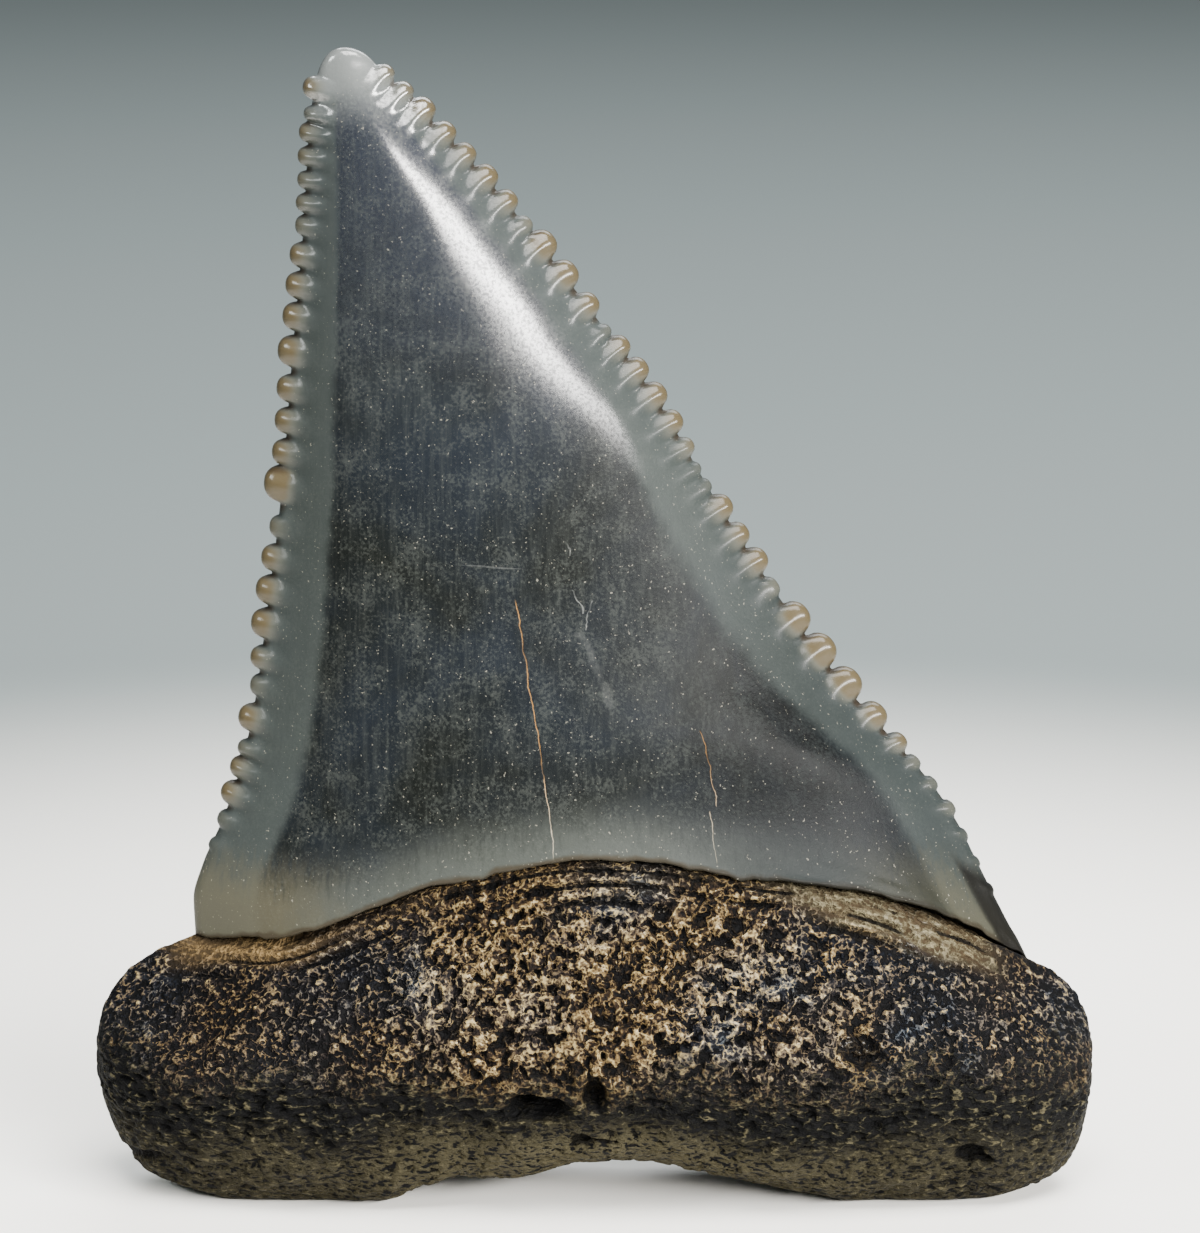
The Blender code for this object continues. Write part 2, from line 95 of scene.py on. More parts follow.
@dataclass(frozen=True)
class Curve:
    """A smooth curve through a few points, which never overshoots them.

    Each span is a cubic with given end slopes. A slope is the weighted harmonic mean of the two chords at its
    point, or zero where they change sign.
    """

    points: Pairs

    def at(self, place: Array) -> Array:
        """Work out the curve at many places.

        Args:
            place: where along the curve, held to its two ends.

        Returns:
            The heights of the curve there, in the shape of place.
        """
        x, y = np.array(self.points, float).T
        step = np.diff(x)
        chord = np.diff(y) / step
        after, before = 2 * step[1:] + step[:-1], step[1:] + 2 * step[:-1]
        with np.errstate(divide="ignore", invalid="ignore"):
            mean = (after + before) / (after / chord[:-1] + before / chord[1:])
        inner = np.where(chord[:-1] * chord[1:] > 0, mean, 0.0)
        slope = np.concatenate([chord[:1], inner, chord[-1:]])
        place = np.clip(place, x[0], x[-1])
        k = np.clip(np.searchsorted(x, place, side="right") - 1, 0, len(step) - 1)
        t = (place - x[k]) / step[k]
        return (
            y[k] * (1 + 2 * t) * (1 - t) ** 2
            + slope[k] * step[k] * t * (1 - t) ** 2
            + y[k + 1] * t * t * (3 - 2 * t)
            + slope[k + 1] * step[k] * t * t * (t - 1)
        )


@dataclass(frozen=True)
class Waves:
    """A seeded random field: a sum of cosine waves of about one length in all directions of space.

    The value at p is sqrt(2 / n) times the sum of cos(k.p + phase), so it has mean 0 and spread 1. stretch
    lengthens the waves along x, y and z.
    """

    length: float
    seed: int
    stretch: tuple[float, float, float] = (1.0, 1.0, 1.0)
    number: int = 48
    spread: float = 0.18

    def at(self, points: Array) -> Array:
        """Work out the field at many points.

        Args:
            points: places in millimetres, with x, y and z along the last axis.

        Returns:
            The field there, one value for each point.
        """
        chance = np.random.default_rng(self.seed)
        way = chance.normal(size=(self.number, 3))
        way /= np.linalg.norm(way, axis=1, keepdims=True)
        size = self.length * (1 + self.spread * chance.uniform(-1, 1, (self.number, 1)))
        way *= 2 * math.pi / size / np.array(self.stretch)
        phase = chance.uniform(0, 2 * math.pi, self.number)
        total = np.zeros(points.shape[:-1])
        for k, start in zip(way, phase):
            total += np.cos(points @ k + start)
        return total * math.sqrt(2 / self.number)


@dataclass(frozen=True)
class BeadRow:
    """The beads of one cutting edge, counted from the tip."""

    first: float
    spacing: Curve
    count: int
    worn: dict[int, float]
    height: float = 0.4
    cover: float = 0.84
    roundness: float = 2.3
    variation: float = 0.08
    largest: float = 1.1
    seed: int = 3

    def along(self, arc: Array) -> tuple[Array, Array, Array]:
        """Work out the beads along the edge.

        Each bead is nearly half an ellipse on its own share of the edge: height times gap times size times
        sqrt(1 - offset^roundness). The wave is the cosine that is 1 on a bead and -1 between two.

        Args:
            arc: distances along the edge from the tip.

        Returns:
            How far the edge is lifted outwards, the wave, and how large the beads are there.
        """
        number = np.arange(self.count)
        chance = np.random.default_rng(self.seed)
        gap = self.spacing.at(number.astype(float))
        middle = self.first + np.concatenate([[0.0], np.cumsum(gap[:-1])])
        size = np.array([self.worn.get(int(n), 1.0) for n in number])
        size *= 1 + self.variation * chance.uniform(-1, 1, self.count)
        offset = (across(arc) - middle) / (gap * self.cover / 2 * np.sqrt(np.minimum(size, self.largest)))
        dome = np.sqrt(np.clip(1 - np.abs(offset) ** self.roundness, 0.0, 1.0))
        lift = (self.height * gap * size * dome).max(axis=1)
        places = [middle[0] - gap[0] / 2, *middle, middle[-1] + gap[-1] / 2]
        there = np.interp(arc, places, [0.0, *size, 0.0])
        turn = np.interp(arc, middle, number.astype(float))
        return lift, np.cos(2 * math.pi * turn), np.minimum(there, self.largest)


@dataclass(frozen=True)
class EdgeRow:
    """One cutting edge where it meets each row of the crown: its place, arc length and outward direction."""

    x: Array
    down: Array
    arc: Array
    out_x: Array
    out_z: Array


class CuttingEdge:
    """One beaded cutting edge, given as x against the depth below the tip."""

    samples = 9000

    def __init__(self, line: Curve, outward: float, beads: BeadRow) -> None:
        """Sample the edge closely, and more closely near the tip.

        Args:
            line: points (depth below the tip, x).
            outward: 1.0 for the right edge and -1.0 for the left one.
            beads: the beads along it.
        """
        self.line = Curve(tuple((math.sqrt(depth), x) for depth, x in line.points))
        end = line.points[-1][0]
        self.depth = np.linspace(0.0, math.sqrt(end), self.samples) ** 2
        x = self.x_at(self.depth)
        run = np.hypot(np.diff(x), np.diff(self.depth))
        self.arc = np.concatenate([[0.0], np.cumsum(run)])
        self.out_x = outward * np.gradient(self.depth, self.arc)
        self.out_z = outward * np.gradient(x, self.arc)
        self.lift, self.wave, self.size = beads.along(self.arc)

    def x_at(self, depth: Array) -> Array:
        """Return x of the edge at depths below the tip. The root of the depth makes the tip round."""
        return self.line.at(np.sqrt(np.maximum(depth, 0.0)))

    def rows(self, down: Array) -> EdgeRow:
        """Return the edge at each row's depth below the tip."""
        arc, out_x, out_z = (np.interp(down, self.depth, a) for a in (self.arc, self.out_x, self.out_z))
        return EdgeRow(self.x_at(down), down, arc, out_x, out_z)

    def beads_at(self, arc: Array) -> tuple[Array, Array, Array]:
        """Return lift, wave and bead size at arc lengths along the edge."""
        return tuple(np.interp(arc, self.arc, a) for a in (self.lift, self.wave, self.size))


@dataclass(frozen=True)
class Relief:
    """What one face of the crown looks like from the side: a low dome with a bevel beside each edge."""

    crest: float
    power: float
    fall: float
    sharpness: float
    left_bevel: Curve
    right_bevel: Curve
    edge_half: float = 0.32
    edge_round: float = 0.36
    bevel_power: float = 1.15
    bevel_limit: float = 0.4
    tip_sharpness: float = 2.2
    tip_softening: Range = (37.5, 41.6)
    base_sharpness: float = 2.1
    base_softening: Range = (14.0, 27.0)

    def height(self, left: Array, right: Array, z: Array) -> Array:
        """Work out how far the face stands out of the blade plane.

        The dome is crest times width to the power, falling with the square of the way across. Each bevel
        starts at the rounded edge and rises to meet the dome at its own width. The three are joined by
        (dome^-s + bevel^-s + bevel^-s)^(-1/s), a soft minimum. Its sharpness s is lower near base and tip.

        Args:
            left: distance to the left edge.
            right: distance to the right edge.
            z: height above the resting plane.

        Returns:
            The height of the face, never below zero.
        """
        width = np.maximum(left + right, 1e-6)
        crest = self.crest * width**self.power
        s = self.base_sharpness
        s = s + (self.sharpness - s) * rise(z, *self.base_softening)
        s = s + (self.tip_sharpness - s) * rise(z, *self.tip_softening)
        total = (crest * (1 - self.fall * ((left - right) / width) ** 2)) ** -s
        for distance, curve in ((left, self.left_bevel), (right, self.right_bevel)):
            bevel = np.minimum(curve.at(z), self.bevel_limit * width)
            shoulder = crest * (1 - self.fall * (1 - 2 * bevel / width) ** 2)
            near = np.clip(distance / self.edge_round, 0.0, 1.0)
            rounded = self.edge_half * np.sqrt(np.clip(1 - (1 - near) ** 2, 0.0, 1.0))
            slope = (shoulder - self.edge_half) * (distance / bevel) ** self.bevel_power
            total = total + np.maximum(rounded + np.maximum(slope, 0.0), 1e-4) ** -s
        return total ** (-1 / s)


@dataclass
class Shell:
    """A closed skin of rings. Ring after ring lies in an array (ring, place in the ring, xyz)."""

    name: str
    rings: Array
    marks: dict[str, Array]
    poles: list[tuple[int, tuple[float, float, float]]]
    zipped: int = 0

    def build(self) -> bpy.types.Object:
        """Make the mesh: quads between rings, fans to the poles and a zip along a seam.

        Returns:
            The new object, in metres, with its marks as point attributes.
        """
        rings, places = self.rings.shape[:2]
        index = np.arange(rings * places).reshape(rings, places)
        beside = np.roll(index, -1, axis=1)
        quads = np.stack([index[:-1], index[1:], beside[1:], beside[:-1]], axis=-1).reshape(-1, 4)
        points = self.rings.reshape(-1, 3)
        marks = {name: values.reshape(-1) for name, values in self.marks.items()}
        triangles = []
        for ring, pole in self.poles:
            around = np.stack([index[ring], beside[ring], np.full(places, len(points))], axis=-1)
            triangles.append(around if ring == 0 else around[:, ::-1])
            points = np.vstack([points, [pole]])
            marks = {name: np.append(values, values[index[ring]].mean()) for name, values in marks.items()}
        if self.zipped:
            triangles.append(self.zip(index[-1]))
        corners = np.concatenate([quads[:, [0, 1, 2]], quads[:, [0, 2, 3]], *triangles])
        a, b, c = (points[corners[:, i]] for i in range(3))
        if np.einsum("ij,ij->i", a, np.cross(b, c)).sum() < 0:
            quads = quads[:, ::-1]
            triangles = [t[:, ::-1] for t in triangles]
        faces = quads.tolist() + [t for group in triangles for t in group.tolist()]
        mesh = bpy.data.meshes.new(self.name)
        mesh.from_pydata(in_box(points).tolist(), [], faces)
        mesh.polygons.foreach_set("use_smooth", np.ones(len(faces), bool))
        for name, values in marks.items():
            layer = mesh.attributes.new(name, "FLOAT", "POINT")
            layer.data.foreach_set("value", values.astype(np.float32))
        mesh.update()
        return show(self.name, mesh)

    def zip(self, ring: Array) -> Array:
        """Close the last ring along a seam.

        The front of the ring has twice as many places as its back. Three triangles join two steps of the
        front to one step of the back, and the flat ones at both ends are left out.

        Args:
            ring: vertex numbers round the last ring.

        Returns:
            The triangles of the seam.
        """
        front = ring[: self.zipped + 1]
        back = np.concatenate([ring[:1], ring[self.zipped + 1 :][::-1], ring[self.zipped : self.zipped + 1]])
        one, two, three = front[:-2:2], front[1:-1:2], front[2::2]
        here, there = back[:-1], back[1:]
        strips = [(one, two, here), (two, there, here), (two, three, there)]
        faces = np.concatenate([np.stack(strip, axis=-1) for strip in strips])
        whole = (faces[:, 0] != faces[:, 1]) & (faces[:, 1] != faces[:, 2]) & (faces[:, 0] != faces[:, 2])
        return faces[whole]


def in_box(points: Array) -> Array:
    """Move points back from the blade plane, turn them into metres and hold them inside the solid's box.

    Args:
        points: places in millimetres round the blade plane.

    Returns:
        The places in metres in the frame of the solid.
    """
    moved = (points + np.array([0.0, PLANE_BACK, 0.0])) * MM
    low, high = (np.array(corner) for corner in CAD_BOX)
    margin = BOX_MARGIN * MM
    moved[:, :2] = np.clip(moved[:, :2], low[:2] + margin, high[:2] - margin)
    moved[:, 2] = np.clip(moved[:, 2], low[2], high[2] - margin)
    return moved


def across(values: Array) -> Array:
    """Return a per-row array as a column, to be spread over a grid."""
    return values[:, None]


def show(name: str, data: bpy.types.ID) -> bpy.types.Object:
    """Put a mesh, a light or a camera in the scene.

    Args:
        name: the object's name.
        data: what it shows.

    Returns:
        The new object.
    """
    shown = bpy.data.objects.new(name, data)
    bpy.context.scene.collection.objects.link(shown)
    return shown


@dataclass(frozen=True)
class Spacing:
    """The columns of a face: how many lie close beside each edge, how many in all, and the first step."""

    near: int
    total: int
    finest: float


@dataclass
class Crown:
    """The enamel crown: a leaning triangular blade, domed towards the tongue, nearly flat towards the lip."""

    tip_height: float = 42.2
    tip_lean: float = -0.7
    lean_start: float = 13.0
    arching_depth: float = 18.6
    heel_depth: float = 21.6
    tip_row: float = 0.0018
    tip_rows: int = 14
    row: float = 0.072
    narrow_share: float = 0.45
    full_lift: float = 0.42
    bead_reach: float = 0.36
    crest_reach: float = 0.2
    between: float = 0.4
    knob: float = 0.3
    knob_place: Range = (0.16, 0.26)
    ridge: float = 0.07
    ridge_place: Range = (0.48, 0.34)
    bead_mark: float = 0.42
    notch_mark: float = 0.28
    left_strip: Range = (0.75, 1.1)
    right_strip: Range = (0.55, 1.15)
    tip_strip: Range = (39.8, 41.3)
    heel_rise: Range = (30.2, 31.2)
    heel_width: Range = (0.95, 1.3)
    flare: float = 0.55
    flare_rise: float = 1.7
    flare_sides: Range = (0.5, 5.0)
    wobble: tuple[Waves, Waves] = (Waves(1.9, 21, number=24), Waves(0.6, 22, number=24))
    wobble_height: float = 0.05
    wobble_rise: Range = (31.6, 32.9)
    ripple: Waves = Waves(1.7, 31, (1.0, 1.0, 9.0))
    ripple_height: float = 0.004
    ripple_rise: Range = (12.0, 16.0)
    turn_in: Pairs = ((0.02, 0.05), (0.07, 0.09), (0.14, 0.11), (0.3, 0.02))
    pole: tuple[float, float, float] = (0.0, 0.0, 11.0)
    left_line: Curve = Curve((
        (0.0, -8.95), (0.2, -9.5), (0.9, -9.9), (3.1, -10.25), (6.6, -10.5), (11.2, -10.95), (16.2, -11.4),
        (21.2, -12.05), (24.0, -12.45), (26.7, -13.05), (28.7, -13.75), (30.4, -14.5), (31.7, -14.85),
        (32.9, -14.8),
    ))
    right_line: Curve = Curve((
        (0.0, -8.95), (0.2, -8.25), (0.85, -7.6), (2.3, -6.15), (5.7, -3.1), (9.5, -0.2), (12.8, 2.2),
        (17.0, 4.65), (21.2, 7.4), (23.6, 9.2), (26.0, 11.3), (27.4, 12.5), (28.8, 13.4), (30.4, 14.2),
        (31.8, 14.9), (32.8, 15.42), (33.9, 16.05),
    ))
    tongue_enamel: Curve = Curve((
        (-14.8, 9.3), (-13.4, 9.45), (-11.9, 9.75), (-8.5, 11.1), (-4.5, 12.6), (0.3, 13.3), (6.0, 12.5),
        (10.4, 11.65), (13.5, 10.2), (16.05, 8.3),
    ))
    lip_enamel: Curve = Curve(((-14.8, 9.3), (-9.0, 9.7), (0.5, 10.4), (9.0, 9.9), (16.05, 8.3)))
    left_beads: BeadRow = BeadRow(
        1.98,
        Curve((
            (0, 0.95), (1, 0.68), (2, 0.87), (5, 0.83), (6, 1.08), (8, 1.15), (10, 1.39), (11, 1.2),
            (13, 1.17), (14, 1.61), (15, 1.18), (18, 1.3), (19, 1.05), (20, 1.25), (21, 1.18), (22, 0.75),
            (23, 1.02), (26, 1.05),
        )),
        27,
        {0: 1.2, 6: 0.7, 15: 0.6, 20: 0.6, 25: 0.5, 26: 0.25},
    )
    right_beads: BeadRow = BeadRow(
        1.8,
        Curve((
            (0, 0.92), (1, 0.95), (2, 1.14), (3, 1.06), (5, 1.16), (7, 0.98), (8, 1.35), (9, 1.38),
            (10, 1.15), (11, 0.78), (12, 1.06), (14, 1.17), (16, 0.88), (17, 0.74), (19, 1.2), (21, 1.15),
            (22, 1.45), (25, 1.6), (26, 1.36), (27, 0.95), (29, 1.15), (33, 1.15),
        )),
        34,
        {7: 0.75, 11: 0.6, 17: 0.5, 18: 0.4, 22: 0.45, 28: 0.6, 29: 0.4, 30: 0.5, 31: 0.3, 32: 0.2, 33: 0.2},
    )
    spacings: dict[Face, Spacing] = field(default_factory=lambda: {
        Face.TONGUE: Spacing(24, 96, 0.03),
        Face.LIP: Spacing(14, 48, 0.05),
    })
    reliefs: dict[Face, Relief] = field(default_factory=lambda: {
        Face.TONGUE: Relief(
            0.5, 0.64, 0.5, 7.0,
            Curve(((8, 2.7), (20, 2.4), (30, 1.8), (36, 1.4), (42.2, 0.8))),
            Curve(((8, 3.6), (16, 3.5), (24, 2.9), (30, 2.1), (36, 1.6), (42.2, 0.7))),
        ),
        Face.LIP: Relief(
            0.16, 0.6, 0.45, 4.0, Curve(((8, 1.1), (42.2, 1.1))), Curve(((8, 1.3), (42.2, 1.3)))
        ),
    })

    def __post_init__(self) -> None:
        """Make the two cutting edges and the rows that both faces share."""
        self.left = CuttingEdge(self.left_line, -1.0, self.left_beads)
        self.right = CuttingEdge(self.right_line, 1.0, self.right_beads)
        last = self.left_line.points[-1][0]
        near_tip = self.tip_row * np.arange(1, self.tip_rows + 1) ** 2
        number = math.ceil((last - near_tip[-1]) / self.row)
        depth = np.concatenate([near_tip, np.linspace(near_tip[-1], last, number + 1)[1:]])
        drop = self.right_line.points[-1][0] - last
        right_depth = depth + drop * rise(depth, self.heel_depth, last)
        self.left_row = self.left.rows(depth)
        self.right_row = self.right.rows(right_depth)
        self.arching = rise(depth, self.arching_depth, last)

    def blade_plane(self, z: Array) -> Array:
        """Return y of the blade plane, which leans towards the tongue with the square of the height."""
        return self.tip_lean * np.clip((z - self.lean_start) / (self.tip_height - self.lean_start), 0, 1) ** 2

    def enamel(self, face: Face) -> Curve:
        """Return the lower edge of the enamel on a face."""
        return self.tongue_enamel if face is Face.TONGUE else self.lip_enamel

    def columns(self, face: Face) -> Array:
        """Place the columns of a face between the edges.

        Counted from each edge, column k lies (k + k squared / 5) finest steps in, or less where the row is
        too narrow for that. The rest are evenly spaced between.

        Args:
            face: the tongue or the lip face.

        Returns:
            x of each column on each row, without the edges themselves.
        """
        spacing = self.spacings[face]
        k = np.arange(1, spacing.near + 1)
        width = across(self.right_row.x - self.left_row.x)
        narrow = self.narrow_share * width * k / (spacing.near + 1)
        inward = np.minimum(spacing.finest * (k + k**2 / 5), narrow)
        first = across(self.left_row.x) + inward
        last = across(self.right_row.x) - inward[:, ::-1]
        middle = spacing.total - 1 - 2 * spacing.near
        share = np.arange(1, middle + 1) / (middle + 1)
        between = first[:, -1:] + (last[:, :1] - first[:, -1:]) * share
        return np.concatenate([first, between, last], axis=1)

    def height(self, face: Face, in_left: Array, in_right: Array, z: Array, above: Array) -> Array:
        """Work out how far a face stands out, with the tongue side's flare towards the root.

        Args:
            face: the tongue or the lip face.
            in_left: distance to the left edge.
            in_right: distance to the right edge.
            z: height above the resting plane.
            above: height above the edge of the enamel.

        Returns:
            The height over the blade plane.
        """
        height = self.reliefs[face].height(in_left, in_right, z)
        if face is Face.TONGUE:
            sides = rise(in_left, *self.flare_sides) * rise(in_right, *self.flare_sides)
            height = height + self.flare * np.exp(-above / self.flare_rise) * sides
        return height

    def face(self, face: Face, x: Array) -> tuple[Array, dict[str, Array]]:
        """Work out one face of the crown over a grid of rows and columns.

        A point at x on a row first stands out of the blade plane by the face's height. Its nearest place on
        an edge is the row's arc length less the distance in times the edge's slope. The bead there pulls the
        point outwards by exp(-(distance / reach) squared) and swells it, and farther in a low ridge runs on
        from it.

        Args:
            face: the tongue or the lip face.
            x: x of each column on each row.

        Returns:
            The points, and the marks that the finish reads.
        """
        left, right = self.left_row, self.right_row
        share = (x - across(left.x)) / across(right.x - left.x)
        down = across(left.down) * (1 - share) + across(right.down) * share
        flat = self.tip_height - down
        line = self.enamel(face)
        arch = line.at(x[-1]) - flat[-1]
        z = flat + arch * across(self.arching)
        in_left, in_right = x - across(left.x), across(right.x) - x
        above = np.clip(z - line.at(x), 0.0, None)
        height = self.height(face, in_left, in_right, z, above)
        moved_x, moved_z = x.copy(), z.copy()
        bead, notch = np.zeros_like(x), np.zeros_like(x)
        bevels = self.reliefs[face]
        strip = rise(z, *self.tip_strip)
        for edge, row, inward, bevel, limits in (
            (self.left, left, in_left, bevels.left_bevel, self.left_strip),
            (self.right, right, in_right, bevels.right_bevel, self.right_strip),
        ):
            lift, wave, size = edge.beads_at(across(row.arc) - inward * across(row.out_z))
            distance = inward * across(np.abs(row.out_x))
            near = bell(distance, 0.0, self.crest_reach)
            swell = lift * near + self.full_lift * size * self.between * (1 + wave) * (1 - near)
            pull = swell * bell(distance, 0.0, self.bead_reach)
            moved_x += pull * across(row.out_x)
            moved_z += pull * across(row.out_z)
            height = height + self.knob * swell * bell(distance, *self.knob_place)
            height = height + self.ridge * size * wave * bell(distance, *self.ridge_place)
            bead += lift / self.full_lift * bell(distance, 0.0, self.bead_mark)
            # notch: where the finish paints shade between the beads
            notch += np.clip(-wave, 0, 1) * size * bell(distance, 0.0, self.notch_mark)
            strip = np.maximum(strip, 1 - rise(inward / bevel.at(z), *limits))
        heel = rise(across(right.down), *self.heel_rise) * (1 - rise(in_right, *self.heel_width))
        points = np.stack([moved_x, self.blade_plane(z) + face.value * height, moved_z], axis=-1)
        marks = {"bead": np.clip(bead, 0, 1), "notch": notch, "strip": strip, "above": above, "heel": heel}
        return points, marks

    def edge_points(self, edge: CuttingEdge, row: EdgeRow) -> tuple[Array, dict[str, Array]]:
        """Work out the crest of a cutting edge itself.

        Args:
            edge: the left or the right edge.
            row: where it meets the rows.

        Returns:
            A grid one column wide, and its marks.
        """
        lift, wave, size = edge.beads_at(row.arc)
        z = self.tip_height - row.down
        points = np.stack([row.x + lift * row.out_x, self.blade_plane(z), z + lift * row.out_z], axis=-1)
        above = np.clip(z - self.tongue_enamel.at(row.x), 0.0, None)
        heel = rise(row.down, *self.heel_rise) if edge is self.right else np.zeros_like(z)
        bead, notch = np.clip(lift / self.full_lift, 0, 1), np.clip(-wave, 0, 1) * size
        values = {"bead": bead, "notch": notch, "strip": np.ones_like(z), "above": above, "heel": heel}
        return points[:, None, :], {name: across(value) for name, value in values.items()}

    def rings(self) -> tuple[Array, dict[str, Array]]:
        """Join both faces and both edges into rings, and turn the last ring in under the enamel.

        Returns:
            The rings and their marks.
        """
        tongue = self.face(Face.TONGUE, self.columns(Face.TONGUE))
        lip = self.face(Face.LIP, self.columns(Face.LIP))
        left = self.edge_points(self.left, self.left_row)
        right = self.edge_points(self.right, self.right_row)
        parts = [left, tongue, right, (lip[0][:, ::-1], {n: v[:, ::-1] for n, v in lip[1].items()})]
        rings = np.concatenate([part[0] for part in parts], axis=1)
        marks = {name: np.concatenate([part[1][name] for part in parts], axis=1) for name in left[1]}
        wobble = self.wobble_height * (self.wobble[0].at(rings) + 0.6 * self.wobble[1].at(rings))
        rings[..., 2] += wobble * across(rise(self.left_row.down, *self.wobble_rise)) * (1 - marks["bead"])
        ripple = self.ripple_height * self.ripple.at(rings) * rise(rings[..., 2], *self.ripple_rise)
        rings[..., 1] += ripple * np.sign(rings[..., 1]) * (1 - marks["strip"])
        turned = []
        for step, drop in self.turn_in:
            ring = rings[-1].copy()
            ring[:, 1] -= np.sign(ring[:, 1]) * np.minimum(np.abs(ring[:, 1]) * 0.5, step)
            ring[:, 2] -= drop
            turned.append(ring)
        rings = np.concatenate([rings, np.array(turned)])
        return rings, {name: np.pad(v, ((0, len(turned)), (0, 0)), "edge") for name, v in marks.items()}

    def build(self) -> bpy.types.Object:
        """Make the crown as one closed piece, with a pole at the tip and one hidden inside the root.

        Returns:
            The crown.
        """
        rings, marks = self.rings()
        tip = (self.left_line.points[0][1], self.tip_lean, self.tip_height)
        return Shell("crown", rings, marks, [(0, tip), (len(rings) - 1, self.pole)]).build()


@dataclass(frozen=True)
class Spot:
    """A hollow or a ridge on the tongue side of the root: its place, half sizes, depth, turn and the strength
    of its painted shade.
    """

    x: float
    z: float
    wide: float
    high: float
    depth: float
    turn: float = 0.0
    dark: float = 0.0

    def at(self, x: Array, z: Array, larger: float = 1.0) -> Array:
        """Return 1 in its middle, falling as exp(-r^4) of the distance r in half sizes.

        Args:
            x: places across the root.
            z: their heights.
            larger: factor of the half sizes.

        Returns:
            The strength of the spot there.
        """
        c, s = math.cos(math.radians(self.turn)), math.sin(math.radians(self.turn))
        along = ((x - self.x) * c + (z - self.z) * s) / (self.wide * larger)
        over = (-(x - self.x) * s + (z - self.z) * c) / (self.high * larger)
        return np.exp(-((along**2 + over**2) ** 2))


